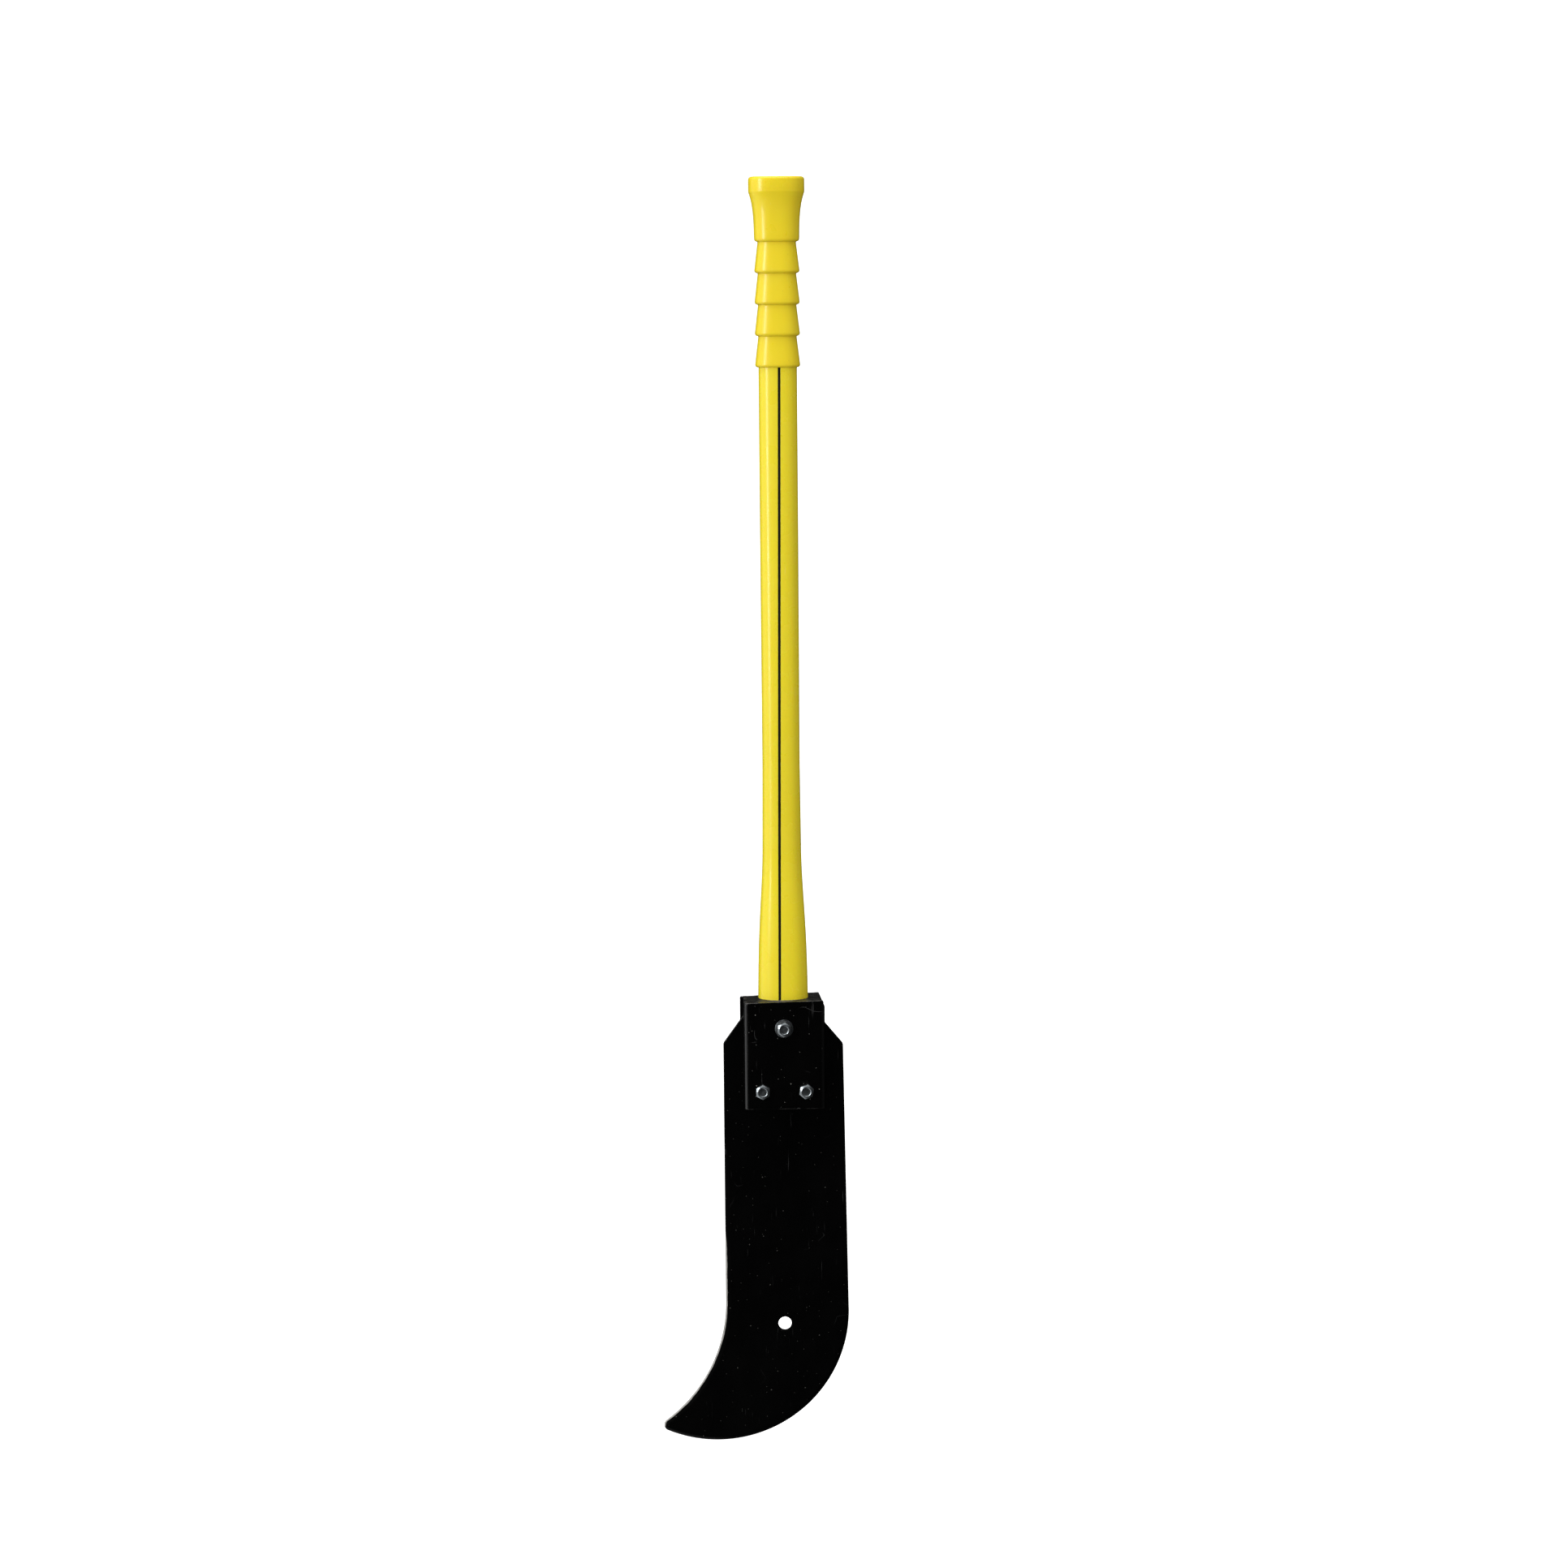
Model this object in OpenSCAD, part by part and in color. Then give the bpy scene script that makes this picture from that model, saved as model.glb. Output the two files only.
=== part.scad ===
// Bush hook: a hooked brush-cutting blade bolted to a steel housing that grips a fibreglass handle.
// Units are millimetres. +Z runs up along the handle, the blade hangs below, and the housing
// stands on the -Y side of the blade. The origin is the centre of the blade's hang hole.

/* [Blade] */
// Thickness of the blade plate
blade_t = 3.4; // [2.6:0.1:5]
// Distance from the handle line to the hook-side edge
hook_side = 57.4; // [48:0.2:68]
// Distance from the handle line to the belly-side edge, where the belly starts
belly_side = 62.3; // [52:0.1:72]
// How much nearer the handle line the belly-side edge is at the shoulder
belly_taper = 4; // [0:0.5:8]
// Height of the hook-side shoulder corner
hook_shoulder_z = 277.4; // [250:0.2:300]
// Height of the belly-side shoulder corner
belly_shoulder_z = 275.6; // [250:0.2:300]
// Slope of the hook-side shoulder
hook_shoulder_angle = 54; // [40:1:65]
// Slope of the belly-side shoulder
belly_shoulder_angle = 50; // [40:1:65]
// Radius of the shoulder corners
shoulder_r = 5; // [2:0.5:12]
// Radius of the hook's concave arc
hook_r = 145.5; // [125:0.5:175]
// Height at which the hook's arc leaves the straight edge
hook_z = 22.4; // [8:0.2:40]
// Radius of the blade's round belly
belly_r = 127.4; // [110:0.2:150]
// Height of the belly circle's centre
belly_z = 12; // [0:0.5:26]
// Radius of the hook's point
tip_r = 6.2; // [4.2:0.2:9]
// Width of the ground bevel on the two long edges
bevel_w = 5; // [2:0.1:8]
// Width of the ground bevel round the belly and the point
belly_bevel_w = 3.6; // [1.5:0.1:4]
// Height at which the ground bevels start
bevel_z = 177; // [120:1:210]
// Radius of the hang hole
hang_hole_r = 6.5; // [4:0.1:10]

/* [Housing] */
// Outside width of the folded housing
housing_w = 76; // [68:0.5:92]
// Depth of the housing, from the blade's face to its own front
housing_d = 52; // [46:0.5:64]
// Height of the housing at its front hook-side corner
housing_h = 102.6; // [95:0.2:125]
// How much higher the housing's upper edge is on the belly side
rim_rise = 2; // [0:0.1:4]
// How much lower the housing's upper edge is at the back
rim_dip = 1.3; // [0:0.1:3]
// How far the back corner of the belly-side wall is cut down
wall_clip = 7.5; // [1:0.5:9]
// Height of the housing's lower edge above the hang hole
housing_z = 222; // [215:1:240]
// Thickness of the housing's steel
housing_wall = 3.4; // [2:0.1:5]
// Outside radius of the housing's two bends
bend_r = 5; // [4:0.2:7]
// How far the filler lies below the housing's upper edge at the walls
filler_drop = 0.8; // [0.4:0.1:4]
// How far the filler climbs up the handle
filler_climb = 2; // [1:0.1:8]

/* [Back plate] */
// Width of the plate behind the blade
plate_w = 82; // [70:0.5:100]
// Thickness of the plate behind the blade
plate_t = 3.4; // [2:0.1:5]
// Height of the plate on the hook side
plate_h = 100; // [94:0.5:125]
// How much higher the plate's upper edge would be on the belly side
plate_rise = 3.4; // [0:0.1:6]
// Radius of the plate's lower corners
plate_r = 3; // [1:0.5:6]
// Width of the plate's clipped upper corner
plate_clip_w = 5.8; // [2:0.1:12]
// Height of the plate's clipped upper corner
plate_clip_h = 14; // [3:0.5:20]

/* [Bolts] */
// Bolt diameter (5/16 inch)
bolt_d = 7.94; // [6:0.02:10]
// Bolt length under the head (3 inch), for a lower bolt's stack from head to nut of 69.15
bolt_len = 76.2; // [72:0.2:90]
// Width across the flats of heads and nuts (1/2 inch)
hex_af = 12.7; // [10:0.1:16]
// Height of a bolt head
head_h = 5.3; // [3.5:0.1:8]
// Diameter of a bolt head's flat face, inside its chamfer
head_face_d = 9.6; // [8.8:0.1:12]
// Diameter of the dish in a bolt head
dish_d = 8.4; // [4:0.2:8.6]
// Thickness of a nut
nut_h = 6.75; // [4:0.05:9]
// Outside diameter of a flat washer
washer_d = 17.5; // [14:0.5:24]
// Thickness of a flat washer
washer_t = 1.6; // [1:0.1:2.5]
// Outside diameter of a lock washer
lock_d = 14.9; // [12.5:0.1:18]
// Thickness of a lock washer
lock_t = 2; // [1.2:0.1:3]
// Distance between the two lower bolts
bolt_spread = 41.6; // [38:0.2:46]
// Height of the lower bolts above the housing's lower edge
low_bolt_rise = 17.2; // [12:0.2:22]
// Height of the upper bolt above the lower ones
bolt_pitch = 60.8; // [50:0.2:66]
// Radial clearance of the bolt holes
bolt_gap = 0.33; // [0.1:0.01:0.8]
// Radial clearance between a bolt and its nut's plain bore
thread_gap = 0.05; // [0.02:0.01:0.2]

/* [Handle] */
// Width of the fibreglass core
core_w = 27; // [20:0.5:31]
// Depth of the fibreglass core
core_d = 21; // [16:0.5:26]
// Corner radius of the core
core_r = 8; // [4:0.5:10]
// Height of the core's lower end above the housing's lower edge
core_rise = 4; // [0:0.5:12]
// Width of the handle at its waist
waist_w = 35.5; // [32:0.1:43]
// Depth of the handle at its waist
waist_d = 31; // [28:0.5:38]
// Height of the waist
waist_z = 550; // [500:5:600]
// Extra width of the handle near the grip
neck_extra = 0.7; // [0:0.1:2]
// Width that the handle gains steadily from its waist to the housing
taper_w = 3.9; // [1:0.1:6]
// Width that the handle gains in its flare
flare_w = 8.4; // [4:0.1:10]
// Height at which the flare starts
flare_z = 470; // [440:1:500]
// Length over which the flare builds up
flare_len = 70; // [50:1:90]
// Depth that the handle gains from its waist to the housing
flare_d = 12; // [6:0.5:14]
// How far the jacket runs down inside the housing
jacket_tail = 73; // [50:0.5:76]
// Width of the inlaid stripe
stripe_w = 2.4; // [1.5:0.1:4]
// Depth of the inlaid stripe
stripe_t = 0.9; // [0.5:0.1:1.5]
// Where the stripe's upper end lies, across the handle
stripe_top_x = 0.9; // [-4:0.1:4]
// Where the stripe's lower end lies, across the handle
stripe_low_x = -3.7; // [-6:0.1:4]
// Clearance between the stripe and its groove
stripe_gap = 0.04; // [0.02:0.01:0.1]

/* [Grip] */
// Height of the grip's lowest lip above the hang hole
grip_z = 926.6; // [760:0.2:1120]
// Distance from one lip to the next
ring_pitch = 29.35; // [24:0.1:36]
// Number of tapered rings below the butt
ring_count = 4; // [2:1:5]
// How much wider the grip's lips are than the handle
lip_step = 6; // [5:0.1:12]
// How much narrower the rings' upper ends are than the handle
neck_step = 0.4; // [0:0.1:1.5]
// Radius of the rounded lips
lip_r = 2.6; // [1:0.1:4]
// Length of the butt, from the highest lip to its end
butt_len = 60.4; // [50:0.2:80]
// How much wider the butt's end band is than the lips
butt_step = 10.5; // [4:0.1:18]
// Length of the butt's straight end band
butt_band = 13.9; // [8:0.1:20]
// Length over which the butt narrows
butt_fade = 13.2; // [8:0.1:18]
// Radius of the butt's upper rim
butt_rim_r = 3; // [1:0.1:5]
// Depth of the grip as a share of its width
grip_aspect = 0.86; // [0.84:0.01:0.95]
// Thickness of the grip over the core's upper end
butt_cap = 6; // [4:0.5:12]

/* [Hidden] */
$fn = 64;
// Overlap that keeps cuts from ending on a face
eps = 0.5;
// Land left on a ground cutting edge, and the small chamfer on an edge left unground
edge_land = 0.6;
edge_chamfer = 0.4;
// Length over which a bevel runs out
bevel_run_out = 12;
// Radius of the corners of the blade's upper end, and how far it stops below the housing's edge
tang_r = 3;
tang_drop = 3.6;
// Squareness of the handle's section: 2 is an ellipse
section_n = 2.6;
section_points = 40;
// Clearance round the lock washers' and flat washers' holes
washer_gap = 0.4;
lock_gap = 0.15;
lock_split = 1.6;
// Depth of the dish in a bolt head
dish_depth = 0.6;

blade_front = -blade_t / 2;
blade_back = blade_t / 2;
housing_front = blade_front - housing_d;
housing_top = housing_z + housing_h;
housing_inner_d = housing_d - housing_wall;
housing_inner_w = housing_w - 2 * housing_wall;
plate_back = blade_back + plate_t;
filler_top = housing_top + filler_climb;
clip_lean = atan(plate_clip_w / plate_clip_h);
wall_clip_turn = atan(wall_clip * tan(clip_lean) / housing_d);
lip_w = waist_w + neck_extra + lip_step;
ring_neck_w = waist_w + neck_extra - neck_step;
butt_w = lip_w + butt_step;
handle_y = blade_front - housing_inner_d / 2;
bolt_r = bolt_d / 2;
bolt_hole_r = bolt_r + bolt_gap;
low_bolt_z = housing_z + low_bolt_rise;
top_bolt_z = low_bolt_z + bolt_pitch;
bolt_x = bolt_spread / 2;
core_z = housing_z + core_rise;
jacket_z = housing_top - jacket_tail;
butt_z = grip_z + ring_count * ring_pitch;
grip_top = butt_z + butt_len;
core_top = grip_top - butt_cap;
hex_r = hex_af / 2 / cos(30);
nut_face_r = 0.95 * hex_af / 2;
stated_stack = 69.15;
stack = housing_d + blade_t + plate_t + washer_t + lock_t + nut_h;
bolt_reach = bolt_len + stack - stated_stack;

// ---- shared geometry ----

function ring(z, a, b) =
    [for (i = [0:section_points - 1])
        let (t = 360 * i / section_points, c = cos(t), s = sin(t), k = 2 / section_n)
        [sign(c) * a * pow(abs(c), k), handle_y + sign(s) * b * pow(abs(s), k), z]];

// A closed solid through rings of equally many points that turn anticlockwise about the way they go
module loft(rings) {
    m = len(rings[0]);
    n = len(rings);
    sides = [for (i = [0:n - 2], j = [0:m - 1])
        [i * m + j, (i + 1) * m + j, (i + 1) * m + (j + 1) % m, i * m + (j + 1) % m]];
    start = [for (j = [0:m - 1]) j];
    end = [for (j = [m - 1:-1:0]) (n - 1) * m + j];
    points = [for (r = rings) for (p = r) p];
    polyhedron(points = points, faces = concat([start], sides, [end]), convexity = 8);
}

module along_y(x, z, y0, y1, r) {
    translate([x, y1, z]) rotate([90, 0, 0]) cylinder(h = y1 - y0, r = r);
}

module bolt_holes(y0, y1) {
    along_y(0, top_bolt_z, y0, y1, bolt_hole_r);
    for (side = [-1, 1]) along_y(side * bolt_x, low_bolt_z, y0, y1, bolt_hole_r);
}

// ---- blade ----
// The outline is a list of [x, z, inward normal x, inward normal z, bevel width], anticlockwise
// from the front: down the hook side, round the point and belly, up the belly side, over the tang.

hook_c = [-hook_side - hook_r, hook_z];
belly_c = [belly_side - belly_r, belly_z];
// The point's circle touches the hook's arc from outside and the belly from inside
tip_reach = belly_c - hook_c;
tip_dist = norm(tip_reach);
tip_hook = hook_r + tip_r;
tip_belly = belly_r - tip_r;
tip_along = (tip_hook * tip_hook - tip_belly * tip_belly + tip_dist * tip_dist) / (2 * tip_dist);
tip_off = sqrt(tip_hook * tip_hook - tip_along * tip_along);
tip_c = hook_c + tip_reach / tip_dist * tip_along
    + [tip_reach[1], -tip_reach[0]] / tip_dist * tip_off;
hook_end = atan2(tip_c[1] - hook_c[1], tip_c[0] - hook_c[0]);
belly_start = atan2(tip_c[1] - belly_c[1], tip_c[0] - belly_c[0]);

tang_top = housing_top - tang_drop;
belly_shoulder_x = belly_side - belly_taper;
belly_lean = atan2(belly_taper, belly_shoulder_z - belly_z);

function on_arc(c, r, a, inward, w) =
    [c[0] + r * cos(a), c[1] + r * sin(a), inward * cos(a), inward * sin(a), w];

// A convex corner at p, rounded to radius r between two edges whose outward normals are a0 and a1
function corner(p, r, a0, a1, steps, w) =
    let (mid = (a0 + a1) / 2, c = p - r / cos((a1 - a0) / 2) * [cos(mid), sin(mid)])
    [for (i = [0:steps]) on_arc(c, r, a0 + (a1 - a0) * i / steps, -1, w)];

// Points along the straight edges where the bevel fades out towards the housing
function bevel_share(z) = min(1, max(0, (bevel_z - z) / bevel_run_out));
function bevel_at(z) = edge_chamfer + (bevel_w - edge_chamfer) * bevel_share(z);
hook_edge_z = [for (i = [0:6]) bevel_z - bevel_run_out * i / 6];
function belly_edge(z) = belly_side - (z - belly_z) * tan(belly_lean);

hook_tang_x = -hook_side + (tang_top - hook_shoulder_z) / tan(hook_shoulder_angle);
belly_tang_x = belly_shoulder_x - (tang_top - belly_shoulder_z) / tan(belly_shoulder_angle);
corner_w = edge_chamfer;

hook_steps = 22;
tip_steps = 12;
belly_steps = 46;
belly_blend = 24;
hook_blend = 0.8;

blade_outline = concat(
    corner([hook_tang_x, tang_top], tang_r, 90, 90 + hook_shoulder_angle, 4, corner_w),
    corner([-hook_side, hook_shoulder_z], shoulder_r, 90 + hook_shoulder_angle, 180, 5, corner_w),
    [for (z = hook_edge_z) [-hook_side, z, 1, 0, bevel_at(z)]],
    [for (i = [0:hook_steps])
        let (s = i / hook_steps, fade = max(0, s - hook_blend) / (1 - hook_blend))
        on_arc(hook_c, hook_r, hook_end * s, 1, bevel_w + (belly_bevel_w - bevel_w) * fade)],
    [for (i = [1:tip_steps - 1])
        let (a0 = 180 + hook_end, a1 = 360 + belly_start)
        on_arc(tip_c, tip_r, a0 + (a1 - a0) * i / tip_steps, -1, belly_bevel_w)],
    [for (i = [0:belly_steps])
        let (a = belly_start * (1 - i / belly_steps), fade = max(0, a + belly_blend) / belly_blend)
        on_arc(belly_c, belly_r, a, -1, belly_bevel_w + (bevel_w - belly_bevel_w) * fade)],
    [for (i = [6:-1:0])
        let (z = hook_edge_z[i])
        [belly_edge(z), z, -cos(belly_lean), -sin(belly_lean), bevel_at(z)]],
    corner([belly_shoulder_x, belly_shoulder_z], shoulder_r, belly_lean,
           90 - belly_shoulder_angle, 5, corner_w),
    corner([belly_tang_x, tang_top], tang_r, 90 - belly_shoulder_angle, 90, 4, corner_w));

// Half the thickness left at the edge: thin where the bevel is wide
function land(w) =
    let (share = min(1, (w - edge_chamfer) / (belly_bevel_w - edge_chamfer)))
    blade_t / 2 - edge_chamfer + (edge_land / 2 - blade_t / 2 + edge_chamfer) * share;

function blade_ring(y_share, inset) =
    [for (p = blade_outline)
        let (y = inset ? blade_t / 2 : land(p[4]), w = inset ? p[4] : 0)
        [p[0] + p[2] * w, y_share * y, p[1] + p[3] * w]];

module blade() {
    color([0.05, 0.05, 0.055])
    difference() {
        loft([blade_ring(1, true), blade_ring(1, false),
              blade_ring(-1, false), blade_ring(-1, true)]);
        along_y(0, 0, blade_front - eps, blade_back + eps, hang_hole_r);
        bolt_holes(blade_front - eps, blade_back + eps);
    }
}

// ---- housing ----

// A channel's section, open towards +Y at y = 0, with its web at y = -d
module channel_section(w, d, r) {
    translate([-w / 2, r - d]) square([w, d - r]);
    translate([r - w / 2, -d]) square([w - 2 * r, d]);
    for (side = [-1, 1]) translate([side * (w / 2 - r), r - d]) circle(r = r);
}

// Height of the housing's upper edge, which rises to the belly side and dips to the back
function rim_z(x, y) =
    housing_top + rim_rise * (x / housing_w + 0.5) - rim_dip * (y - housing_front) / housing_d;

// Everything above a level that lies the drop below the housing's upper edge
module above_rim(drop = 0) {
    margin = 10;
    translate([-housing_w / 2, housing_front, housing_top - drop])
    rotate([-atan(rim_dip / housing_d), -atan(rim_rise / housing_w), 0])
    translate([-margin, -margin, 0])
    cube([housing_w + 2 * margin, housing_d + 2 * margin, 2 * margin]);
}

// Everything outside the slanting cut that takes the back corner off the belly-side wall
module outside_wall_clip() {
    margin = 20;
    translate([housing_w / 2, blade_front, rim_z(housing_w / 2, blade_front) - wall_clip])
    rotate([0, -clip_lean, wall_clip_turn])
    translate([0, -housing_d - margin, -margin])
    cube([margin, housing_d + 2 * margin, 2 * margin]);
}

module front_housing() {
    color([0.06, 0.06, 0.065])
    difference() {
        translate([0, blade_front, housing_z])
        linear_extrude(housing_h + rim_rise + 1)
        difference() {
            channel_section(housing_w, housing_d, bend_r);
            translate([-housing_inner_w / 2, -1]) square([housing_inner_w, 1 + eps]);
            channel_section(housing_inner_w, housing_inner_d, bend_r - housing_wall);
        }
        above_rim();
        outside_wall_clip();
        bolt_holes(housing_front - eps, housing_front + housing_wall + eps);
    }
}

module back_plate() {
    half = plate_w / 2;
    top = housing_z + plate_h;
    clip_x = half - plate_clip_w;
    color([0.06, 0.06, 0.065])
    difference() {
        translate([0, plate_back, 0])
        rotate([90, 0, 0])
        linear_extrude(plate_t) {
            polygon([
                [plate_r - half, housing_z], [half - plate_r, housing_z],
                [half, housing_z + plate_r], [half, top + plate_rise - plate_clip_h],
                [clip_x, top + plate_rise * (clip_x + half) / plate_w],
                [-half, top], [-half, housing_z + plate_r]]);
            translate([plate_r - half, housing_z + plate_r]) circle(r = plate_r);
            translate([half - plate_r, housing_z + plate_r]) circle(r = plate_r);
        }
        bolt_holes(blade_back - eps, plate_back + eps);
    }
}

// The filler's surface climbs in a hollow curve from the walls (share 0) to the handle (share 1)
function filler_ring(share, handle) =
    [for (i = [0:section_points - 1])
        let (t = 360 * i / section_points,
             reach = min(housing_inner_w / 2 / max(abs(cos(t)), 0.01),
                         housing_inner_d / 2 / max(abs(sin(t)), 0.01)),
             wall = [reach * cos(t), handle_y + reach * sin(t)],
             x = wall[0] + (handle[i][0] - wall[0]) * share,
             y = wall[1] + (handle[i][1] - wall[1]) * share,
             foot = rim_z(x, y) - filler_drop)
        [x, y, foot + (filler_top - foot) * pow(share, 2)]];

module potting() {
    potting_z = housing_z + 1;
    shares = [0.02, 0.25, 0.5, 0.7, 0.85, 1];
    handle = jacket_ring(filler_top);
    sunk = [for (p = filler_ring(0.02, handle)) [p[0], p[1], jacket_z]];
    color([0.1, 0.1, 0.1])
    difference() {
        union() {
            difference() {
                translate([0, blade_front, potting_z])
                linear_extrude(housing_h + rim_rise)
                channel_section(housing_inner_w, housing_inner_d, bend_r - housing_wall);
                above_rim(filler_drop);
            }
            loft(concat([sunk], [for (share = shares) filler_ring(share, handle)]));
        }
        loft([for (z = concat(collar_z, [filler_top + eps])) jacket_ring(z)]);
        core_solid(core_z, jacket_z + eps);
        bolt_holes(housing_front - eps, blade_front + eps);
    }
}

// ---- handle ----

function flare_share(z) = z >= flare_z ? 0 : 1 - exp(-pow((flare_z - z) / flare_len, 2));
function taper_share(z) = max(0, waist_z - z) / (waist_z - housing_top);
function neck_share(z) = min(1, max(0, z - waist_z) / 240);
function handle_w(z) =
    let (h = max(z, housing_top))
    waist_w + neck_extra * neck_share(h) + taper_w * taper_share(h) + flare_w * flare_share(h);
function handle_d(z) =
    let (h = max(z, housing_top))
    waist_d + neck_extra * neck_share(h)
        + flare_d * (taper_w * taper_share(h) + flare_w * flare_share(h)) / (taper_w + flare_w);

function jacket_ring(z) = ring(z, handle_w(z) / 2, handle_d(z) / 2);

// Heights of the handle's sections: where the filler holds it, then above the filler
collar_z = [jacket_z, housing_top, filler_top];
shaft_z = concat(
    [for (i = [1:12]) housing_top + (flare_z - housing_top) * i / 12],
    [for (i = [1:4]) flare_z + (waist_z - flare_z) * i / 4],
    [for (i = [1:6]) waist_z + (grip_z - waist_z) * i / 6]);

module core_solid(z0, z1) {
    translate([0, handle_y, z0])
    linear_extrude(z1 - z0) {
        square([core_w, core_d - 2 * core_r], center = true);
        square([core_w - 2 * core_r, core_d], center = true);
        for (x = [-1, 1], y = [-1, 1])
            translate([x * (core_w / 2 - core_r), y * (core_d / 2 - core_r)]) circle(r = core_r);
    }
}

module handle_core() {
    color([0.82, 0.78, 0.62])
    difference() {
        core_solid(core_z, core_top);
        along_y(0, top_bolt_z, housing_front, blade_front, bolt_hole_r);
    }
}

// The stripe's section at height z: its outer face follows the handle, raised by lift
function stripe_x(z) =
    stripe_low_x + (stripe_top_x - stripe_low_x) * (z - filler_top) / (grip_z - filler_top);
function face_y(x, z) =
    handle_y - handle_d(z) / 2 * pow(1 - pow(abs(x) / (handle_w(z) / 2), section_n), 1 / section_n);
function stripe_ring(z, gap, lift) =
    let (x = stripe_x(z), h = stripe_w / 2 + gap, y = face_y(x, z))
    [[x - h, y + stripe_t + gap, z], [x - h, face_y(x - h, z) - lift, z], [x, y - lift, z],
     [x + h, face_y(x + h, z) - lift, z], [x + h, y + stripe_t + gap, z]];

above_filler = [for (z = shaft_z) if (z > filler_top + 1) z];
stripe_z = concat([filler_top], above_filler);

module handle_jacket() {
    groove_z = concat([filler_top - stripe_gap], above_filler, [grip_z + eps]);
    color([0.93, 0.78, 0.1])
    difference() {
        loft([for (z = concat(collar_z, shaft_z)) jacket_ring(z)]);
        core_solid(jacket_z - eps, grip_z + eps);
        loft([for (z = groove_z) stripe_ring(z, stripe_gap, 2)]);
        along_y(0, top_bolt_z, housing_front, blade_front, bolt_hole_r);
    }
}

module handle_stripe() {
    color([0.07, 0.07, 0.06])
    loft([for (z = stripe_z) stripe_ring(z, 0, 0)]);
}

// ---- grip ----
// The profile is a list of [z, half width] from the lowest lip upwards

function lip_profile(z, a) =
    [for (i = [0:4])
        let (t = 90 * i / 4)
        [z + lip_r * (1 - cos(t)), a - lip_r + lip_r * sin(t)]];
function ring_profile(i) =
    let (z = grip_z + i * ring_pitch)
    concat([[z, ring_neck_w / 2]], lip_profile(z, lip_w / 2),
           [[z + ring_pitch, ring_neck_w / 2]]);

butt_steps = 12;
band_z = grip_top - butt_band;
function butt_a(z) =
    lip_w / 2 + (butt_w - lip_w) / 2 * exp(-pow(max(0, band_z - z) / butt_fade, 1.15));
butt_profile = concat(
    [[butt_z, ring_neck_w / 2]],
    lip_profile(butt_z, lip_w / 2),
    [for (i = [1:butt_steps])
        let (z0 = butt_z + lip_r, z = z0 + (band_z - z0) * (1 - pow(1 - i / butt_steps, 1.6)))
        [z, butt_a(z)]],
    [for (i = [0:5])
        let (t = 90 * i / 5)
        [grip_top - butt_rim_r * (1 - sin(t)), butt_w / 2 - butt_rim_r * (1 - cos(t))]]);

grip_profile = concat(
    lip_profile(grip_z, lip_w / 2),
    [for (i = [1:ring_count - 1]) each concat([[grip_z + i * ring_pitch - 0.02, ring_neck_w / 2]],
                                             lip_profile(grip_z + i * ring_pitch, lip_w / 2))],
    [[butt_z - 0.02, ring_neck_w / 2]],
    [for (i = [1:len(butt_profile) - 1]) butt_profile[i]]);

module grip() {
    color([0.93, 0.78, 0.1])
    difference() {
        loft([for (p = grip_profile) ring(p[0], p[1], p[1] * grip_aspect)]);
        core_solid(grip_z - eps, core_top);
    }
}

// ---- fasteners ----

// A hexagon standing on z = 0, chamfered by a 30 degree cone down to a round upper face
module hexagon(h, turn, face_r) {
    intersection() {
        rotate([0, 0, turn]) cylinder(h = h, r = hex_r, $fn = 6);
        cylinder(h = h, r1 = face_r + h / tan(30), r2 = face_r);
    }
}

// Moves a fastener that stands along +Z so that it points to the front, with its foot at y
module facing_front(x, y, z) {
    translate([x, y, z]) rotate([90, 0, 0]) children();
}

module bolt(x, z, under_head, turn) {
    facing_front(x, under_head, z)
    color([0.75, 0.78, 0.8]) {
        difference() {
            hexagon(head_h, turn, head_face_d / 2);
            translate([0, 0, head_h - dish_depth])
            cylinder(h = dish_depth, r1 = dish_d / 2 - dish_depth, r2 = dish_d / 2);
            translate([0, 0, head_h]) cylinder(h = eps, r = dish_d / 2);
        }
        translate([0, 0, -bolt_reach]) cylinder(h = bolt_reach, r = bolt_r);
    }
}

module nut(x, z, turn) {
    face = plate_back + washer_t + lock_t;
    translate([x, face, z])
    rotate([-90, 0, 0])
    color([0.75, 0.78, 0.8])
    difference() {
        hexagon(nut_h, turn, nut_face_r);
        translate([0, 0, -eps]) cylinder(h = nut_h + 2 * eps, r = bolt_r + thread_gap);
    }
}

module flat_washer(x, z, front) {
    color([0.7, 0.72, 0.74])
    difference() {
        along_y(x, z, front, front + washer_t, washer_d / 2);
        along_y(x, z, front - eps, front + washer_t + eps, bolt_r + washer_gap);
    }
}

module lock_washer(x, z, front) {
    color([0.62, 0.64, 0.66])
    difference() {
        along_y(x, z, front, front + lock_t, lock_d / 2);
        along_y(x, z, front - eps, front + lock_t + eps, bolt_r + lock_gap);
        translate([x, front - eps, z])
        rotate([0, 35, 0])
        translate([0, 0, -lock_split / 2])
        cube([lock_d, lock_t + 2 * eps, lock_split]);
    }
}

module top_bolt() { bolt(0, top_bolt_z, housing_front - washer_t - lock_t, 24); }
module hook_side_bolt() { bolt(-bolt_x, low_bolt_z, housing_front, 30); }
module belly_side_bolt() { bolt(bolt_x, low_bolt_z, housing_front, 18); }

module top_head_washer() { flat_washer(0, top_bolt_z, housing_front - washer_t); }
module top_head_lock_washer() { lock_washer(0, top_bolt_z, housing_front - washer_t - lock_t); }

module top_washer() { flat_washer(0, top_bolt_z, plate_back); }
module hook_side_washer() { flat_washer(-bolt_x, low_bolt_z, plate_back); }
module belly_side_washer() { flat_washer(bolt_x, low_bolt_z, plate_back); }

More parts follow.
